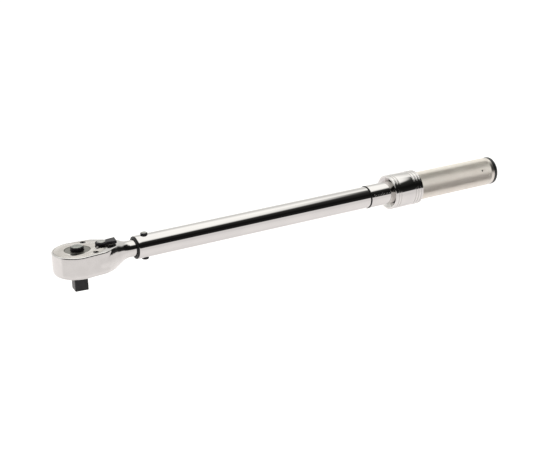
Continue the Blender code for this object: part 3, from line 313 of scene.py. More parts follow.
new_finish("etched_mark", (0.34, 0.33, 0.32), (0.44, 0.43, 0.42), (0.55, 0.7), 0.0,
           patch=900, grain=6000, bump=0.1)

# %% [markdown]
# The knurl's finish is darker in its grooves and brighter on its points. The shader works out how far each
# point lies from the middle line.

# %% Make the knurl's finish
HANDLE_RADIUS = half_of(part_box("handle"), Y)
tree, shader = new_finish("knurl", (0.90, 0.85, 0.78), (0.96, 0.92, 0.85), (0.28, 0.36), 1.0,
                          patch=60, grain=2500, bump=0.04)
spot = add(tree, "ShaderNodeSeparateXYZ", add(tree, "ShaderNodeTexCoord").outputs["Object"])
height = calc(tree, "SUBTRACT", spot.outputs["Z"], AXIS_Z)
squares = calc(tree, "ADD", calc(tree, "POWER", spot.outputs["Y"], 2.0), calc(tree, "POWER", height, 2.0))
radius = calc(tree, "SQRT", squares)
# colour darker towards the groove bottoms, full on the points
crest = add(tree, "ShaderNodeMapRange", radius, HANDLE_RADIUS - 0.25 * MM, HANDLE_RADIUS, 0.82, 1.0)
old_colour = shader.inputs["Base Color"].links[0].from_socket
shade = add(tree, "ShaderNodeMix", data_type="RGBA", blend_type="MULTIPLY")
shade.inputs["Factor"].default_value = 1.0
tree.links.new(old_colour, shade.inputs["A"])
tree.links.new(crest.outputs["Result"], shade.inputs["B"])
tree.links.new(shade.outputs["Result"], shader.inputs["Base Color"])
print("finish knurl, crest at", round(HANDLE_RADIUS / MM, 2), "mm")

# %% [markdown]
# ## Tools for turned pieces
# Most of this tool comes off a lathe. A turned piece is a profile of (distance along the axis,
# radius) points, spun round an axis. Real edges are never knife sharp, so a third number on a
# point rounds that corner. Bright edges that catch the light come from these small rounds.

# %% Round the corners of a profile
def corner_arc(before, here, after, size, steps):
    """Points of an arc that eases the corner at here."""
    to_last = (Vector(before[:2]) - here).normalized()
    to_next = (Vector(after[:2]) - here).normalized()
    half = to_last.angle(to_next) / 2
    centre = here + (to_last + to_next).normalized() * size / math.sin(half)
    first = here + to_last * size / math.tan(half) - centre
    last = here + to_next * size / math.tan(half) - centre
    start = math.atan2(first.y, first.x)
    sweep = (math.atan2(last.y, last.x) - start + math.pi) % (2 * math.pi) - math.pi
    angles = [start + sweep * k / steps for k in range(steps + 1)]
    return [centre + Vector((math.cos(a), math.sin(a))) * size for a in angles]


def eased(profile, closed, steps=5):
    """Swap each corner that has a round for a short arc of points."""
    points = []
    count = len(profile)
    for i, spot in enumerate(profile):
        here = Vector(spot[:2])
        size = spot[2] if len(spot) > 2 else 0
        if size == 0 or (not closed and i in (0, count - 1)):
            points.append(here)
        else:
            points += corner_arc(profile[i - 1], here, profile[(i + 1) % count], size, steps)
    return points


print("corner rounding ready")

# %% Make a closed piece of points and faces
ALONG = Matrix.Translation((0, 0, AXIS_Z)) @ Matrix.Rotation(math.pi / 2, 4, "Y")


def upright(x=0.0, y=0.0):
    return Matrix.Translation((x, y, AXIS_Z))


def face_outwards(item):
    """Weld doubles and point every face out."""
    shape = bmesh.new()
    shape.from_mesh(item.data)
    bmesh.ops.remove_doubles(shape, verts=shape.verts, dist=1e-7)
    bmesh.ops.recalc_face_normals(shape, faces=shape.faces)
    shape.to_mesh(item.data)
    shape.free()


def solid(name, verts, faces, place):
    """Make a piece of points and faces and set it in place."""
    mesh = bpy.data.meshes.new(name)
    mesh.from_pydata(verts, [], faces)
    mesh.transform(place)
    made = bpy.data.objects.new(name, mesh)
    bpy.context.collection.objects.link(made)
    face_outwards(made)
    return made


print("solids ready")

# %% Spin a profile into a closed piece
def spin(name, profile, place=ALONG, hollow=False, steps=128):
    """Turn a profile round local Z, then set it in place."""
    points = eased(profile, hollow)
    verts, rings, faces = [], [], []
    for along, radius in points:
        if radius < 1e-9:
            rings.append([len(verts)])
            verts.append((0, 0, along))
            continue
        rings.append([len(verts) + i for i in range(steps)])
        for i in range(steps):
            a = 2 * math.pi * i / steps
            verts.append((radius * math.cos(a), radius * math.sin(a), along))
    pairs = list(zip(rings, rings[1:]))
    if hollow:
        pairs.append((rings[-1], rings[0]))
    for low, high in pairs:
        for i in range(steps):
            j = (i + 1) % steps
            if len(low) == 1:
                faces.append((low[0], high[i], high[j]))
            elif len(high) == 1:
                faces.append((low[i], high[0], low[j]))
            else:
                faces.append((low[i], high[i], high[j], low[j]))
    return solid(name, verts, faces, place)


def bar(name, start, end, radius, place, steps=32):
    """A plain round bar along local Z, to cut a hole with."""
    return spin(name, [(start, 0), (start, radius), (end, radius), (end, 0)], place, steps=steps)


print("lathe ready")

# %% [markdown]
# These tools bake a piece's modifiers into a plain mesh, cut it with others, ease its edges and
# melt it like a casting. Boolean cuts run with the Manifold solver, which is quick and keeps a
# shape closed.

# %% Bake, cut, ease and melt
def bake(item):
    """Swap a piece's mesh for what its modifiers make of it."""
    graph = bpy.context.evaluated_depsgraph_get()
    graph.update()
    mesh = bpy.data.meshes.new_from_object(item.evaluated_get(graph))
    item.modifiers.clear()
    old = item.data
    item.data = mesh
    bpy.data.meshes.remove(old)
    mesh.name = item.name
    return item


def carve(item, *tools, operation="DIFFERENCE"):
    for tool in tools:
        step = item.modifiers.new("cut", "BOOLEAN")
        step.operation = operation
        step.solver = "MANIFOLD"
        step.object = tool
        bake(item)
        bpy.data.objects.remove(tool, do_unlink=True)
    return item


def soften(item, width, segments=2, degrees=40):
    """Round every edge sharper than an angle."""
    step = item.modifiers.new("soften", "BEVEL")
    step.width = width
    step.segments = segments
    step.limit_method = "ANGLE"
    step.angle_limit = math.radians(degrees)
    return bake(item)


def melt(item, voxel, passes):
    """Remesh a piece on a fine grid and smooth it, so its edges round off like a casting's."""
    step = item.modifiers.new("melt", "REMESH")
    step.mode = "VOXEL"
    step.voxel_size = voxel
    step = item.modifiers.new("polish", "SMOOTH")
    step.factor = 0.5
    step.iterations = passes
    return bake(item)


print("cutting tools ready")

# %% [markdown]
# Every finished piece is set up the same way: it gets its finish and smooth shading, rides on its body, and
# the plain pieces that it stands for are hidden.

# %% Set up a finished piece
def smooth(item, degrees=30):
    item.data.shade_smooth()
    item.data.set_sharp_from_angle(angle=math.radians(degrees))
    return item


def hand_in(item, body, slot, finish, *nodes, degrees=30):
    """Give a finished piece its material and its body, and hide the plain pieces it stands for; slot is not
    used.
    """
    item.data.materials.clear()
    item.data.materials.append(FINISH[finish])
    smooth(item, degrees)
    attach(item, body)
    if nodes:
        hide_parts(*nodes)
    item.data.calc_loop_triangles()
    print(f"{item.name}: {len(item.data.loop_triangles)} triangles on {body}")
    return item


print("workshop ready")

# %% [markdown]
# Shapes that repeat, such as the knurl, the scale's marks and the coils, come from Geometry Nodes
# trees. All trees start and end alike, and grow() runs one on a piece.

# %% Open, close and grow a tree
def open_tree(name, **inputs):
    """Start a tree that takes geometry, the named inputs and a finish, and gives geometry."""
    tree = bpy.data.node_groups.new(name, "GeometryNodeTree")
    for label, kind in {"Geometry": "Geometry", **inputs, "Finish": "Material"}.items():
        tree.interface.new_socket(label.replace("_", " "), in_out="INPUT",
                                  socket_type="NodeSocket" + kind)
    tree.interface.new_socket("Geometry", in_out="OUTPUT", socket_type="NodeSocketGeometry")
    return tree, tree.nodes.new("NodeGroupInput").outputs


def close_tree(tree, shape, finish):
    """End a tree: make its shape real and put the finish on it."""
    real = add(tree, "GeometryNodeRealizeInstances", shape)
    done = add(tree, "GeometryNodeSetMaterial", real.outputs[0], None, finish)
    add(tree, "NodeGroupOutput", done.outputs[0])
    return tree


def grow(item, tree, **sizes):
    """Run a tree on a piece, with its inputs set by socket identifier, and bake the result."""
    step = item.modifiers.new("grow", "NODES")
    step.node_group = tree
    names = {socket.name: socket.identifier for socket in tree.interface.items_tree
             if socket.in_out == "INPUT"}
    for label, value in sizes.items():
        step[names[label.replace("_", " ")]] = value
    return bake(item)


print("tree tools ready")

# %% [markdown]
# ## Tube
# The main tube is plain drawn steel under chrome. From the black ring on it is turned down, and
# the scale sleeve is pressed over that part. The pivot pin crosses it near the head, so it has
# a hole above and below.

# %% Turn the tube
CLEARANCE = 0.3 * MM
TUBE_X = tube_low.x
TUBE_END_X = tube_high.x
PIN_X = middle_of(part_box("pivot_pin"))
PIN_RADIUS = half_of(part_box("pivot_pin"))
ring_low, ring_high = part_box("sleeve_ring")
SLEEVE_RADIUS = half_of(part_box("scale_sleeve"), Y)
SLEEVE_BORE = SLEEVE_RADIUS - 0.85 * MM
NECKED_X = ring_low.x - CLEARANCE
NECKED = SLEEVE_BORE - CLEARANCE
TUBE_BORE = 9.6 * MM
tube = spin("chromed_tube", [
    (TUBE_X, TUBE_RADIUS, 1.1 * MM), (PIN_X - 6 * MM, TUBE_RADIUS), (PIN_X + 6 * MM, TUBE_RADIUS),
    (NECKED_X, TUBE_RADIUS, 0.2 * MM), (NECKED_X, NECKED), (TUBE_END_X, NECKED),
    (TUBE_END_X, TUBE_BORE), (PIN_X + 6 * MM, TUBE_BORE), (PIN_X - 6 * MM, TUBE_BORE),
    (TUBE_X, TUBE_BORE, 0.3 * MM)], hollow=True)
hole = PIN_RADIUS + CLEARANCE / 2
for side in (-1, 1):
    carve(tube, bar("pin_hole", side * 4 * MM, side * 14 * MM, hole, upright(PIN_X), 64))
hand_in(tube, "tube", "chrome", "chrome", "tube")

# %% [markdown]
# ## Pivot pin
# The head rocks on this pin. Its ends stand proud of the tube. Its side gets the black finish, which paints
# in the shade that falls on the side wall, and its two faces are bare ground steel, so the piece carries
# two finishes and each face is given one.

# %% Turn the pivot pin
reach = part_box("pivot_pin")[1].z - AXIS_Z
PIN_EDGE = 0.45 * MM
pin = spin("ground_pivot_pin", [
    (-reach, 0), (-reach, PIN_RADIUS - PIN_EDGE, 0.1 * MM), (-reach + PIN_EDGE, PIN_RADIUS, 0.2 * MM),
    (reach - PIN_EDGE, PIN_RADIUS, 0.2 * MM), (reach, PIN_RADIUS - PIN_EDGE, 0.1 * MM), (reach, 0)],
    upright(PIN_X), steps=64)
# the black finish on the side is painted shade; the flat ends get bare steel
hand_in(pin, "tube", "satin_chrome", "black_oxide", "pivot_pin")
pin.data.materials.append(FINISH["pin_steel"])
ends = [face for face in pin.data.polygons if abs(face.normal.z) > 0.9]
for face in ends:
    face.material_index = 1
print("pin with", len(ends), "bare faces")

# %% [markdown]
# ## Dust seal
# A rubber plug in the mouth of the tube. Its lip shows as a thin black ring round the neck.

# %% Turn the dust seal
seal_low, seal_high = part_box("dust_seal")
lip = seal_low.x
SEAL_OUTER = half_of((seal_low, seal_high), Y)
SEAL_BORE = 8.45 * MM
middle = (SEAL_OUTER + SEAL_BORE) / 2
seal = spin("seal_lip", [
    (lip, middle, 0.5 * MM), (lip + 0.5 * MM, middle + 0.35 * MM, 0.2 * MM),
    (lip + 0.5 * MM, SEAL_OUTER, 0.4 * MM), (TUBE_X - 0.25 * MM, SEAL_OUTER, 0.1 * MM),
    (TUBE_X - 0.25 * MM, TUBE_BORE - CLEARANCE / 2), (seal_high.x, TUBE_BORE - CLEARANCE / 2, 0.3 * MM),
    (seal_high.x, SEAL_BORE), (lip, SEAL_BORE, 0.3 * MM)], hollow=True, steps=96)
hand_in(seal, "tube", "rubber", "rubber", "dust_seal")

# %% [markdown]
# ## Scale sleeve and its black ring
# The sleeve carries the torque scale that the collar's front edge reads against. The ring is a
# soft stop that closes the gap between the tube's shoulder and the sleeve.

# %% Turn the sleeve and the ring
sleeve_low, sleeve_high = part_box("scale_sleeve")
sleeve = spin("chromed_sleeve", [
    (sleeve_low.x, SLEEVE_RADIUS, 0.25 * MM), (sleeve_high.x, SLEEVE_RADIUS, 0.2 * MM),
    (sleeve_high.x, SLEEVE_BORE), (sleeve_low.x, SLEEVE_BORE)], hollow=True)
hand_in(sleeve, "tube", "chrome", "chrome", "scale_sleeve")
RING_RADIUS = half_of((ring_low, ring_high), Y)
ring = spin("soft_ring", [
    (ring_low.x, RING_RADIUS, 0.3 * MM), (ring_high.x, RING_RADIUS, 0.3 * MM),
    (ring_high.x, SLEEVE_BORE), (ring_low.x, SLEEVE_BORE)], hollow=True)
hand_in(ring, "tube", "rubber", "rubber", "sleeve_ring")

# %% [markdown]
# ## Lock collar
# Pulling the collar back frees the handle. It is one chromed turning with grooves that give
# fingers a hold, a wide plain band in the middle, and a coned mouth where the sleeve goes in.

# %% Turn the lock collar
collar_low, collar_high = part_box("lock_collar")
COLLAR_X, COLLAR_END_X = collar_low.x, collar_high.x
COLLAR_RADIUS = half_of((collar_low, collar_high), Y)
floor_radius = COLLAR_RADIUS - 0.7 * MM
# start and width of each raised band, in mm from the collar's front edge
BANDS = ((0.0, 3.3), (3.9, 2.3), (6.8, 18.0), (25.4, 2.7), (28.8, 2.8), (32.3, 2.6))
profile = []
for start, width in BANDS:
    first = COLLAR_X + start * MM
    last = first + width * MM
    profile += [(first, floor_radius, 0.1 * MM), (first + 0.25 * MM, COLLAR_RADIUS, 0.45 * MM),
                (last - 0.25 * MM, COLLAR_RADIUS, 0.45 * MM), (last, floor_radius, 0.1 * MM)]
RIB_X = 363.6 * MM
rib_end = RIB_X + 3.4 * MM
rear_bore = HANDLE_RADIUS + CLEARANCE
rib_bore = 13.575 * MM
release_bore = 14.6 * MM
web_bore = SLEEVE_RADIUS + 0.4 * MM
web_x, web_end = COLLAR_X + 3.6 * MM, COLLAR_X + 8.2 * MM
profile[-1] = (COLLAR_END_X, floor_radius)
profile += [(COLLAR_END_X, rear_bore, 0.2 * MM), (rib_end, rear_bore), (rib_end, rib_bore),
            (RIB_X, rib_bore), (RIB_X, release_bore), (web_end, release_bore), (web_end, web_bore),
            (web_x, web_bore, 0.2 * MM), (COLLAR_X, COLLAR_RADIUS - 1.8 * MM, 0.3 * MM)]
collar = spin("chromed_collar", profile, hollow=True, steps=144)
hand_in(collar, "collar", "chrome", "chrome", "lock_collar")
print("collar from", round(COLLAR_X / MM, 1), "to", round(COLLAR_END_X / MM, 1), "mm")

# %% [markdown]
# ## Handle
# The grip is one steel turning. Its skin is a diamond knurl: two sets of sharp grooves cross and
# leave rows of tiny four-sided points. Geometry Nodes make it. The lathe lays down an even mesh,
# and the tree lifts every second point, like the black squares of a chess board, to full height.
# Cutting each square along its low corners then gives true four-sided points.

# %% The knurl tree
def knurl_tree():
    tree, given = open_tree("diamond_knurl", Depth="Float", Spacing="Float", First="Float",
                            Last="Float", Axis_height="Float", Points_round="Float")
    place = add(tree, "GeometryNodeInputPosition").outputs[0]
    spot = add(tree, "ShaderNodeSeparateXYZ", place)
    height = calc(tree, "SUBTRACT", spot.outputs["Z"], given["Axis height"])
    outward = add(tree, "ShaderNodeCombineXYZ", 0.0, spot.outputs["Y"], height).outputs[0]
    unit = add(tree, "ShaderNodeVectorMath", outward, operation="NORMALIZE").outputs["Vector"]
    column = calc(tree, "DIVIDE", calc(tree, "SUBTRACT", spot.outputs["X"], given["First"]),
                  given["Spacing"])
    angle = calc(tree, "ARCTAN2", spot.outputs["Y"], height)
    row = calc(tree, "MULTIPLY", calc(tree, "DIVIDE", angle, 2 * math.pi), given["Points round"])
    total = calc(tree, "ADD", calc(tree, "ROUND", column), calc(tree, "ROUND", row))
    odd = calc(tree, "FLOORED_MODULO", total, 2.0)
    size = add(tree, "ShaderNodeVectorMath", outward, operation="LENGTH").outputs["Value"]
    skin = calc(tree, "GREATER_THAN", size, HANDLE_RADIUS - 0.6 * MM)
    after = calc(tree, "GREATER_THAN", spot.outputs["X"], given["First"])
    before = calc(tree, "LESS_THAN", spot.outputs["X"], given["Last"])
    chosen = calc(tree, "MULTIPLY", calc(tree, "MULTIPLY", after, before), skin)
    lift = calc(tree, "MULTIPLY", calc(tree, "MULTIPLY", odd, given["Depth"]), chosen)
    offset = add(tree, "ShaderNodeVectorMath", unit, None, None, lift, operation="SCALE")
    tree.links.new(lift, offset.inputs["Scale"])
    raised = add(tree, "GeometryNodeSetPosition", given["Geometry"], None, None,
                 offset.outputs["Vector"])
    split = add(tree, "GeometryNodeTriangulate", raised.outputs[0])
    split.quad_method = "SHORTEST_DIAGONAL"
    return close_tree(tree, split.outputs[0], given["Finish"])


print("knurl tree ready")

# %% [markdown]
# ## Scale marks
# The sleeve's scale is a row of short marks along the tool, with a long one at every fifth. A tree
# lays thin bars on a line of points. Each bar is sunk in the sleeve and stands proud by a hair.

# %% The tree that lays a row of marks
def mark_tree():
    tree, given = open_tree("scale_row", Count="Int", Start="Vector", Step="Vector", Size="Vector",
                            Turn="Vector")
    line = tree.nodes.new("GeometryNodeMeshLine")
    mark = tree.nodes.new("GeometryNodeMeshCube")
    rows = tree.nodes.new("GeometryNodeInstanceOnPoints")
    for socket, node, name in ((given["Count"], line, "Count"), (given["Start"], line, "Start Location"),
                               (given["Step"], line, "Offset"), (given["Size"], mark, "Size"),
                               (line.outputs[0], rows, "Points"), (mark.outputs[0], rows, "Instance"),
                               (given["Turn"], rows, "Rotation")):
        tree.links.new(socket, node.inputs[name])
    return close_tree(tree, rows.outputs[0], given["Finish"])


print("mark tree ready")


# %% Lay the marks on the sleeve
MARK_TILT = math.radians(17)       # up from level on the near side
row_y = -SLEEVE_RADIUS * math.cos(MARK_TILT)
row_z = AXIS_Z + SLEEVE_RADIUS * math.sin(MARK_TILT)
row_start = sleeve_low.x + 3.5 * MM
MARK_WIDTH = 0.3 * MM
MARKS = (                       # name, count, then spacing, length and thickness in mm
    ("short_marks", 11, 2, 1.5, 0.10),
    ("long_marks", 3, 10, 3.2, 0.24),
)
row_of_marks = mark_tree()
for name, count, gap, length, thickness in MARKS:
    marks = bpy.data.objects.new(name, bpy.data.meshes.new(name))
    bpy.context.collection.objects.link(marks)
    grow(marks, row_of_marks, Count=count, Start=(row_start, row_y, row_z), Step=(gap * MM, 0, 0),
         Size=(MARK_WIDTH, thickness * MM, length * MM), Turn=(-MARK_TILT, 0, 0),
         Finish=FINISH["etched_mark"])
    hand_in(marks, "tube", "chrome", "etched_mark")
print("scale row starts at", round(row_start / MM, 1), "mm")

# %% Turn and knurl the handle
KNURL_DEPTH = 0.24 * MM
ROUND_COUNT = 208
handle_low, handle_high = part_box("handle")
NOSE_X, HANDLE_END_X = handle_low.x, handle_high.x
NOSE_RADIUS, HANDLE_BORE, NOSE_END_X = 13.2 * MM, 12.15 * MM, 379 * MM
LAND_X = HANDLE_END_X - 3.2 * MM
LAND_RADIUS = HANDLE_RADIUS - 0.25 * MM
root = HANDLE_RADIUS - KNURL_DEPTH
spacing = 2 * math.pi * root / ROUND_COUNT
columns = int((LAND_X - NOSE_END_X - 1.0 * MM) / spacing)
first_x = NOSE_END_X + 0.5 * MM
last_x = first_x + columns * spacing
GROOVE_X = 362.2 * MM
profile = [(NOSE_X, NOSE_RADIUS, 0.2 * MM), (GROOVE_X, NOSE_RADIUS), (GROOVE_X, NOSE_RADIUS - 0.45 * MM),
           (GROOVE_X + 1.3 * MM, NOSE_RADIUS - 0.45 * MM), (GROOVE_X + 1.3 * MM, NOSE_RADIUS),
           (NOSE_END_X, NOSE_RADIUS), (NOSE_END_X, root - 0.15 * MM, 0.1 * MM)]
profile += [(first_x + i * spacing, root) for i in range(columns + 1)]
profile += [(LAND_X, LAND_RADIUS), (HANDLE_END_X, LAND_RADIUS, 0.35 * MM), (HANDLE_END_X, HANDLE_BORE),
            (NOSE_X, HANDLE_BORE)]
handle = spin("knurled_handle", profile, hollow=True, steps=ROUND_COUNT)
grow(handle, knurl_tree(), Depth=KNURL_DEPTH, Spacing=spacing, First=first_x, Last=last_x,
     Axis_height=AXIS_Z, Points_round=float(ROUND_COUNT), Finish=FINISH["knurl"])
print("knurl spacing", round(spacing / MM, 3), "mm,", columns, "columns")

# %% [markdown]
# A rolled spring pin crosses the handle, the plug and the adjusting screw, so turning the handle
# turns the screw. The handle has a hole for it on each side, and three small holes that hold the
# lock balls.

# %% Drill the handle
PIN_TILT = math.radians(25)
ROLL_RADIUS = half_of(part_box("roll_pin"))
pin_place = upright(middle_of(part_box("roll_pin"))) @ Matrix.Rotation(math.pi / 2 - PIN_TILT, 4, "X")
hole = ROLL_RADIUS + CLEARANCE / 2
for side in (-1, 1):
    carve(handle, bar("roll_hole", side * 11 * MM, side * 16 * MM, hole, pin_place))
for i in range(3):
    ball_x = middle_of(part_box(f"lock_ball_{i + 1}"))
    turned = Matrix.Rotation(2 * math.pi * i / 3, 4, "X")
    carve(handle, bar("ball_hole", 11.5 * MM, 14 * MM, 0.9 * MM, upright(ball_x) @ turned))
hand_in(handle, "handle", "knurl", "knurl", "handle", degrees=15)

# %% Roll the spring pin
reach = 14.4 * MM
rolled = spin("rolled_pin", [(-reach, ROLL_RADIUS, 0.15 * MM), (reach, ROLL_RADIUS, 0.15 * MM),
                             (reach, 0.55 * MM), (-reach, 0.55 * MM)], pin_place, hollow=True, steps=32)
hand_in(rolled, "handle", "spring_steel", "black_oxide", "roll_pin")

# %% [markdown]
# ## End cap
# A moulded plastic plug closes the handle. Its edge is well rounded and its face has a shallow
# dish, as mouldings do.

# %% Turn the end cap
cap_low, cap_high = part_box("end_cap")
face_x = HANDLE_END_X + 0.25 * MM
end_cap = spin("moulded_end_cap", [
    (cap_low.x, 0), (cap_low.x, HANDLE_BORE - CLEARANCE, 0.3 * MM), (face_x, HANDLE_BORE - CLEARANCE),
    (face_x, HANDLE_RADIUS - 0.05 * MM, 0.3 * MM), (cap_high.x, HANDLE_RADIUS - 0.05 * MM, 1.2 * MM),
    (cap_high.x, 11.6 * MM, 0.4 * MM), (cap_high.x - 0.7 * MM, 10.6 * MM, 0.5 * MM),
    (cap_high.x - 0.7 * MM, 0)])
hand_in(end_cap, "handle", "black_plastic", "black_plastic", "end_cap")

# %% [markdown]
# ## Ratchet head
# The head is a forging: a round nose for the gear, flat flanks that draw in to the neck, and soft
# edges. First a skin is lofted from rings that follow the outline, with a deep round below and a
# small one above. That is joined to the turned neck, remeshed and smoothed, which melts the two
# together. Then the rooms for the mechanism are cut out of it.

# %% Outlines of the head and its cover
def arc(x, y, radius, start, end, steps):
    angles = [math.radians(start + (end - start) * i / steps) for i in range(steps + 1)]
    return [(x + radius * math.cos(a), y + radius * math.sin(a)) for a in angles]


def mirrored(half):
    """Complete an outline from its +Y half, which runs from front to back."""
    return half + [(x, -y) for x, y in reversed(half) if y > 1e-6]


def rounded_path(points):
    """Ease the inner corners of an open path of (x, y, round) points."""
    return [tuple(point) for point in eased(points, False, 14)]


HEAD_RADIUS = -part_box("head_body")[0].x
SHOULDER = (21.7 * MM, 21.3 * MM)
REAR = (38.5 * MM, 7.9 * MM)
nose = arc(0, 0, HEAD_RADIUS, 180, 95, 60)
side = rounded_path([(*nose[-1], 0), (*SHOULDER, 9 * MM), (*REAR, 0)])
flank = [tuple(Vector(side[-2]).lerp(Vector(REAR), k / 16)) for k in range(1, 17)]
HEAD_OUTLINE = mirrored(nose + side[1:-1] + flank)
print("head outline", len(HEAD_OUTLINE), "points")

# %% Loft the skin of the head
HEAD_TOP = COVER_TOP
TOP_ROUND = 1.3 * MM
LOW_ROUND = 4.6 * MM
HEAD_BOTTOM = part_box("head_body")[0].z - AXIS_Z


def head_skin(steps=10):
    """Rings round the outline, with a deep round below and a small one above."""
    outline = [Vector(p) for p in HEAD_OUTLINE]
    count = len(outline)
    inward = []
    for i, here in enumerate(outline):
        run = (outline[(i + 1) % count] - outline[i - 1]).normalized()
        inward.append(Vector((run.y, -run.x)))
    levels = []
    for k in range(steps + 1):
        a = math.pi / 2 * k / steps
        levels.append((LOW_ROUND * (1 - math.sin(a)), HEAD_BOTTOM + LOW_ROUND * (1 - math.cos(a))))
    for k in range(steps + 1):
        a = math.pi / 2 * k / steps
        levels.append((TOP_ROUND * (1 - math.cos(a)), HEAD_TOP - TOP_ROUND * (1 - math.sin(a))))
    verts = [(*(here + inside * inset), z)
             for inset, z in levels for here, inside in zip(outline, inward)]
    faces = [(n * count + i, n * count + (i + 1) % count, (n + 1) * count + (i + 1) % count,
              (n + 1) * count + i) for n in range(len(levels) - 1) for i in range(count)]
    faces.append(tuple(range(count)))
    faces.append(tuple((len(levels) - 1) * count + i for i in range(count)))
    return solid("forged_head", verts, faces, upright())


head = head_skin()
print("skin lofted with", len(head.data.vertices), "points")

# %% [markdown]
# Towards the neck the forging is turned on a lathe, so its slanted flanks and the flare of the
# neck are one round surface about the tool's middle line, cut off flat above and below. It is
# spun from a table of radii. Two wide discs cut it, and remeshing melts it into the head.

# %% Turn the flank and the neck
NECK, ARM = 8.0 * MM, 7.2 * MM
ARM_END_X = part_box("head_body")[1].x
FLAT_SINK = 0.15 * MM           # the turned part stays this far inside the skin's flat faces
SLAB_WIDTH, SLAB_REACH = 130 * MM, 40 * MM
# distance from the drive and radius, both in mm
FLANK = ((14.0, 22.4), (18.5, 22.2), (23.7, 20.9), (27.3, 19.2), (30.5, 17.4), (34.6, 14.8),
         (38.0, 12.8), (41.2, 10.9), (43.2, 9.8), (45.4, 8.9), (47.6, 8.3), (50.0, 8.0))
profile = [(FLANK[0][0] * MM, 0)] + [(x * MM, r * MM) for x, r in FLANK]
profile += [(82.4 * MM, NECK), (86.4 * MM, ARM), (ARM_END_X, ARM, 0.5 * MM), (ARM_END_X, 0)]
neck = spin("neck", profile, steps=144)
for start, end in ((HEAD_TOP - FLAT_SINK, SLAB_REACH), (-SLAB_REACH, HEAD_BOTTOM + FLAT_SINK)):
    carve(neck, bar("slab", start, end, SLAB_WIDTH, upright(), 48))
carve(head, neck, operation="UNION")
melt(head, 0.5 * MM, 6)
print("head skin", len(head.data.polygons), "faces")

# %% [markdown]
# The rooms follow the plain model's sizes: a recess for the cover, the gear's room with its
# bearing, the pawl's room, the lever's shaft, two screw holes, the detent's hole, the cross hole
# for the pivot pin and the seat for the toggle block.

# %% Cover outline and flat plates
def extruded(name, outline, low, high):
    """A flat outline of (x, y) points made solid from height low to height high."""
    count = len(outline)
    verts = [(x, y, z) for z in (low, high) for x, y in outline]
    faces = [tuple(range(count)), tuple(range(count, 2 * count))]
    faces += [(i, (i + 1) % count, count + (i + 1) % count, count + i) for i in range(count)]
    return solid(name, verts, faces, upright())


def corner_inside(before, corner, after, first, second):
    """Corner of a clockwise outline whose two edges are moved in by first and second."""
    corner = Vector(corner)
    along = (corner - Vector(before)).normalized()
    onward = (Vector(after) - corner).normalized()
    one, two = Vector((along.y, -along.x)), Vector((onward.y, -onward.x))
    area = one.x * two.y - one.y * two.x
    return corner + Vector(((first * two.y - second * one.y) / area,
                            (second * one.x - first * two.x) / area))


def cover_outline(room):
    """The cover's outline, made wider all round by room."""
    edge = nose[-1]
    flank_inset = 6.0 * MM - room
    front = corner_inside(edge, SHOULDER, REAR, 1.8 * MM - room, flank_inset)
    back = corner_inside(SHOULDER, REAR, (REAR[0], -REAR[1]), flank_inset, 5.0 * MM - room)
    curve = arc(0, 0, HEAD_RADIUS - 1.8 * MM + room, 180, 95, 48)
    path = rounded_path([(*curve[-1], 0), (*front, 6 * MM), (*back, 2 * MM), (back.x, -back.y, 0)])
    return mirrored(curve + path[1:-1])


print("cover outline", len(cover_outline(0)), "points")

# %% Cut the rooms in the head
SEAM = 0.25 * MM
GEAR_TIP = 15.6 * MM
PAWL_FLOOR = -6.5 * MM
SCREW_ROOM, DETENT_ROOM = 1.8 * MM, 1.15 * MM
cover_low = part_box("cover_plate")[0]
COVER_SEAT = cover_low.z - AXIS_Z - SEAM
above, below = HEAD_TOP + 3 * MM, HEAD_BOTTOM - 1 * MM
carve(head, extruded("cover_room", cover_outline(SEAM), COVER_SEAT, above))
room, shank, ledge = GEAR_TIP + 0.6 * MM, 11.1 * MM, HEAD_BOTTOM + 3.6 * MM
carve(head, spin("gear_room", [(below, 0), (below, shank), (ledge, shank), (ledge, room),
                               (above, room), (above, 0)], upright(), steps=96))
hub, half = 4.7 * MM, 5.9 * MM
horns = [(room - 4 * MM, -half), (LEVER_X - hub, -half), (LEVER_X, -hub), (LEVER_X, hub),
         (LEVER_X - hub, half), (room - 4 * MM, half)]
carve(head, extruded("horn_room", horns, PAWL_FLOOR + 0.1 * MM, above))
carve(head, spin("lever_room", [(PAWL_FLOOR - 3 * MM, 0), (PAWL_FLOOR - 3 * MM, 3.3 * MM),
                                (PAWL_FLOOR, 3.3 * MM), (PAWL_FLOOR, hub), (above, hub), (above, 0)],
                 upright(LEVER_X), steps=64))
for side in (1, -1):
    carve(head, bar("screw_room", HEAD_TOP - 10 * MM, above, SCREW_ROOM,
                    upright(12 * MM, side * 16 * MM)))
DETENT_X = middle_of(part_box("detent_ball"))
carve(head, bar("detent_room", COVER_SEAT - 7 * MM, above, DETENT_ROOM, upright(DETENT_X)))
carve(head, bar("pin_room", -12 * MM, 12 * MM, PIN_RADIUS + CLEARANCE, upright(PIN_X), 64))
carve(head, bar("toggle_seat", -5.3 * MM, 5.3 * MM, 3.3 * MM, upright(ARM_END_X + 0.6 * MM), 64))
hand_in(head, "head", "satin_chrome", "satin_chrome", "head_body", degrees=28)

# %% [markdown]
# ## Cover plate
# A flat plate closes the mechanism, let in flush with the head. It has holes for the gear's
# boss, the lever's shaft and the lever's ball, and two countersinks. Its edges are eased.

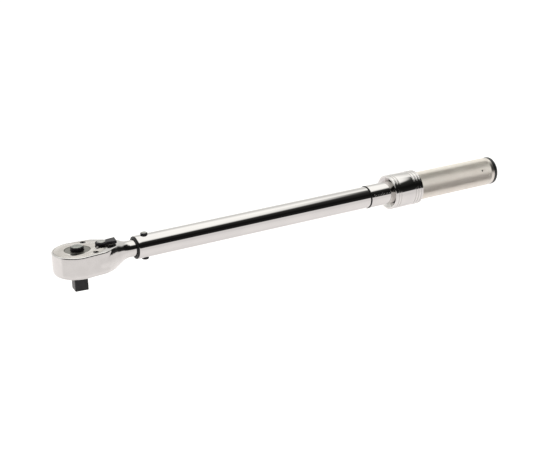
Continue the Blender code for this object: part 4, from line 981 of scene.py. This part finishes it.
# %% Cut the cover plate
cover = extruded("flush_cover", cover_outline(0), cover_low.z - AXIS_Z, COVER_TOP)
low, high = cover_low.z - AXIS_Z - 1 * MM, COVER_TOP + 1 * MM
BOSS = 12.0 * MM
for name, x, y, size in (("boss_hole", 0, 0, BOSS + CLEARANCE), ("shaft_hole", LEVER_X, 0, 3.3 * MM),
                         ("ball_hole", DETENT_X, 0, DETENT_ROOM)):
    carve(cover, bar(name, low, high, size, upright(x, y), 96))
screw_low, screw_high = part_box("cover_screw_1")
SCREW_X = middle_of((screw_low, screw_high))
SCREW_Y = abs(middle_of((screw_low, screw_high), Y))
SCREW_HEAD = half_of((screw_low, screw_high)) + 0.15 * MM
rim = COVER_TOP - 0.45 * MM
for side in (1, -1):
    wide, narrow = SCREW_HEAD + 0.15 * MM, SCREW_ROOM
    carve(cover, spin("countersink", [(low, 0), (low, narrow), (rim - (wide - narrow), narrow),
                                      (rim, wide), (high, wide), (high, 0)],
                      upright(SCREW_X, side * SCREW_Y), steps=64))
soften(cover, 0.15 * MM, 2, 50)
hand_in(cover, "head", "satin_chrome", "cover_chrome", "cover_plate")

# %% [markdown]
# ## Cover screws
# Two flat-headed socket screws in black oxide. The six-sided socket is a cut with a six-step bar.

# %% Turn the cover screws
for number, side in ((1, 1), (2, -1)):
    low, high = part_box(f"cover_screw_{number}")
    end, crown = low.z - AXIS_Z, high.z - AXIS_Z
    neck_z = crown - 1.25 * MM
    place = upright(middle_of((low, high)), middle_of((low, high), Y))
    screw = spin(f"socket_screw_{number}", [
        (end, 0), (end, 1.5 * MM, 0.2 * MM), (neck_z, 1.5 * MM), (crown - 0.2 * MM, 2.6 * MM, 0.1 * MM),
        (crown, 2.6 * MM, 0.15 * MM), (crown, 0)], place, steps=64)
    carve(screw, bar("socket", crown - 1.5 * MM, crown + 1 * MM, 1.44 * MM, place, 6))
    hand_in(screw, "head", "black_oxide", "black_oxide", f"cover_screw_{number}")

# %% [markdown]
# ## Release button
# Pressing the button in the middle of the gear lets the ball in the square sink, so a socket
# comes off. A black rim holds a bare steel cap with a gentle dome.

# %% Turn the release button
button_low, button_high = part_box("quick_release_button")
BUTTON = half_of((button_low, button_high))
bottom, crown = button_low.z - AXIS_Z, button_high.z - AXIS_Z
cap_low, cap_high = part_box("button_cap")
CAP = half_of((cap_low, cap_high))
seat = crown - 0.9 * MM
button = spin("button_rim", [
    (bottom + 3 * MM, 0), (bottom + 3 * MM, 2.7 * MM), (bottom, 2.7 * MM, 0.2 * MM),
    (bottom, BUTTON, 0.3 * MM), (crown, BUTTON, 0.6 * MM), (crown, CAP + CLEARANCE, 0.15 * MM),
    (seat, CAP + CLEARANCE), (seat, 0)], upright(), steps=96)
hand_in(button, "button", "black_oxide", "black_oxide", "quick_release_button")


def domed(name, low, edge, top, radius, place):
    """A low cap with a straight side and a domed top."""
    dome = [(edge + (top - edge) * math.sin(a), radius * math.cos(a))
            for a in (math.pi / 2 * i / 14 for i in range(14))]
    return spin(name, [(low, 0), (low, radius, 0.1 * MM), *dome, (top, 0)], place, steps=96)


button_cap = domed("button_dome", cap_low.z - AXIS_Z, crown + 0.2 * MM, cap_high.z - AXIS_Z, CAP, upright())
hand_in(button_cap, "button", "steel", "button_steel", "button_cap")

# %% [markdown]
# ## Reversing lever
# The thumb lever turns the pawl over. Its base is round and its paddle widens and rises to the
# tip. The plain lever already has that shape with hard corners, so a copy of it is welded,
# remeshed finely and smoothed. That rounds every edge as a casting's would be. A steel dome
# stands over its shaft.

# %% Soften the lever
def casting_of(node, name, voxel, passes):
    """A welded, remeshed and smoothed copy of a plain piece."""
    made = bpy.data.objects.new(name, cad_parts[node].data.copy())
    bpy.context.collection.objects.link(made)
    made.data.transform(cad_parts[node].matrix_world)
    face_outwards(made)
    return melt(made, voxel, passes)


lever = casting_of("reversing_lever", "cast_lever", 0.2 * MM, 4)
hand_in(lever, "lever", "black_oxide", "black_oxide", "reversing_lever", degrees=60)
LEVER_DOME = 1.0 * MM
low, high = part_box("lever_cap")
lever_cap = domed("lever_dome", low.z - AXIS_Z, high.z - AXIS_Z - LEVER_DOME, high.z - AXIS_Z,
                  half_of((low, high)), upright(LEVER_X))
hand_in(lever_cap, "lever", "steel", "steel", "lever_cap")

# %% [markdown]
# ## Springs that are pressed
# Three coil springs are pressed as the tool works: the long one by the turning handle, one by the
# release button and one by the lock collar. Each is a wire swept along a spiral, so a tree makes
# all three from their turns, radius, length and wire.

# %% The tree that winds a spring
def coil_tree():
    tree, given = open_tree("coil", Turns="Float", Radius="Float", Length="Float", Wire="Float")
    spiral = tree.nodes.new("GeometryNodeCurveSpiral")
    spiral.inputs["Resolution"].default_value = 28
    round_wire = tree.nodes.new("GeometryNodeCurvePrimitiveCircle")
    round_wire.inputs["Resolution"].default_value = 10
    swept = tree.nodes.new("GeometryNodeCurveToMesh")
    swept.inputs["Fill Caps"].default_value = True
    for socket, node, name in (
            (given["Turns"], spiral, "Rotations"), (given["Radius"], spiral, "Start Radius"),
            (given["Radius"], spiral, "End Radius"), (given["Length"], spiral, "Height"),
            (given["Wire"], round_wire, "Radius"), (spiral.outputs[0], swept, "Curve"),
            (round_wire.outputs[0], swept, "Profile Curve")):
        tree.links.new(socket, node.inputs[name])
    return close_tree(tree, swept.outputs[0], given["Finish"])


print("coil tree ready")


# %% Wind the three springs
SPRINGS = (                     # node, piece, body, turns, wire, joint, stroke, end that stays, spare
    ("main_spring", "wound_main_spring", "tube", 17, 1.4, "spring_load", 20.0, "low", 0.4),
    ("button_spring", "wound_button_spring", "drive", 5, 0.45, "release_press", 2.5, "low", 0.0),
    ("lock_spring", "wound_lock_spring", "handle", 3, 0.5, "collar_pull", 5.0, "high", 0.0),
)
coil = coil_tree()
for node, name, body, turns, wire, joint, stroke, stays, spare in SPRINGS:
    low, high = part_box(node)
    lengthwise = node != "button_spring"
    first, last = (low.x, high.x) if lengthwise else (low.z, high.z)
    length = last - first
    outer = max(high.y - low.y, (high.z - low.z) if lengthwise else (high.x - low.x)) / 2
    wound = bpy.data.objects.new(name, bpy.data.meshes.new(name))
    bpy.context.collection.objects.link(wound)
    grow(wound, coil, Turns=float(turns), Radius=outer - wire * MM,
         Length=length - (2 * wire + spare) * MM, Wire=wire * MM, Finish=FINISH["spring_steel"])
    start = first + (wire + spare) * MM - (0 if lengthwise else AXIS_Z)
    wound.data.transform((ALONG if lengthwise else upright()) @ Matrix.Translation((0, 0, start)))
    face_outwards(wound)
    hand_in(wound, body, "spring_steel", "spring_steel", node)
    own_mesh(wound)
    print(f"{name}: {length / MM:.1f} mm long, gives {stroke} mm")

# %% [markdown]
# ## Drive
# The drive is one forging: a toothed ring, a shank and the square. It is blackened all over, and
# then its round top is ground bare. One finish does both, and changes from black to steel by
# height, just under the cover.

# %% Make the drive's finish
tree, shader = new_finish("drive_steel", (0.012, 0.011, 0.013), (0.024, 0.022, 0.025), (0.28, 0.40),
                          0.15, patch=260, grain=5000, bump=0.10, shine=0.3)
spot = add(tree, "ShaderNodeSeparateXYZ", add(tree, "ShaderNodeTexCoord").outputs["Object"])
ground_from = AXIS_Z + COVER_TOP - 1.6 * MM
bare = add(tree, "ShaderNodeMapRange", spot.outputs["Z"], ground_from, ground_from + 0.2 * MM, 0.0, 1.0)
old_colour = shader.inputs["Base Color"].links[0].from_socket
shade = add(tree, "ShaderNodeMix", data_type="RGBA")
tree.links.new(bare.outputs["Result"], shade.inputs[0])
tree.links.new(old_colour, shade.inputs[6])
shade.inputs[7].default_value = (0.235, 0.230, 0.205, 1)
tree.links.new(shade.outputs[2], shader.inputs["Base Color"])
tree.links.new(bare.outputs["Result"], shader.inputs["Metallic"])
print("drive ground bare above", round(ground_from / MM, 1), "mm")

# %% [markdown]
# ## Pieces that keep their plain shape
# The drive and most of the mechanism are already the right shape, among them the pawl, the toggle
# block, the plunger, the nuts and the balls. These nodes stay as they are and only get a finish.

# %% Finish the pieces inside
INSIDE = {
    "drive_steel": ("drive_anvil",),
    "steel": ("release_rod", "retaining_ball", "pawl", "detent_ball", "toggle_block", "plunger",
              "spring_seat", "adjusting_screw", "handle_plug", "end_nut", "lock_ball_1",
              "lock_ball_2", "lock_ball_3"),
    "spring_steel": ("detent_spring", "snap_ring"),
    "bronze": ("thrust_washer", "adjusting_nut"),
}
for finish, names in INSIDE.items():
    for name in names:
        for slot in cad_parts[name].material_slots:
            slot.material = FINISH[finish]
print("finished", sum(len(names) for names in INSIDE.values()), "plain pieces")

# %% Compare the boxes
new_box = [list(corner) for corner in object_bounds()]
for name, box in (("plain", cad_box), ("finished", new_box)):
    print(name, [round((box[1][i] - box[0][i]) / MM, 2) for i in range(3)], "mm")
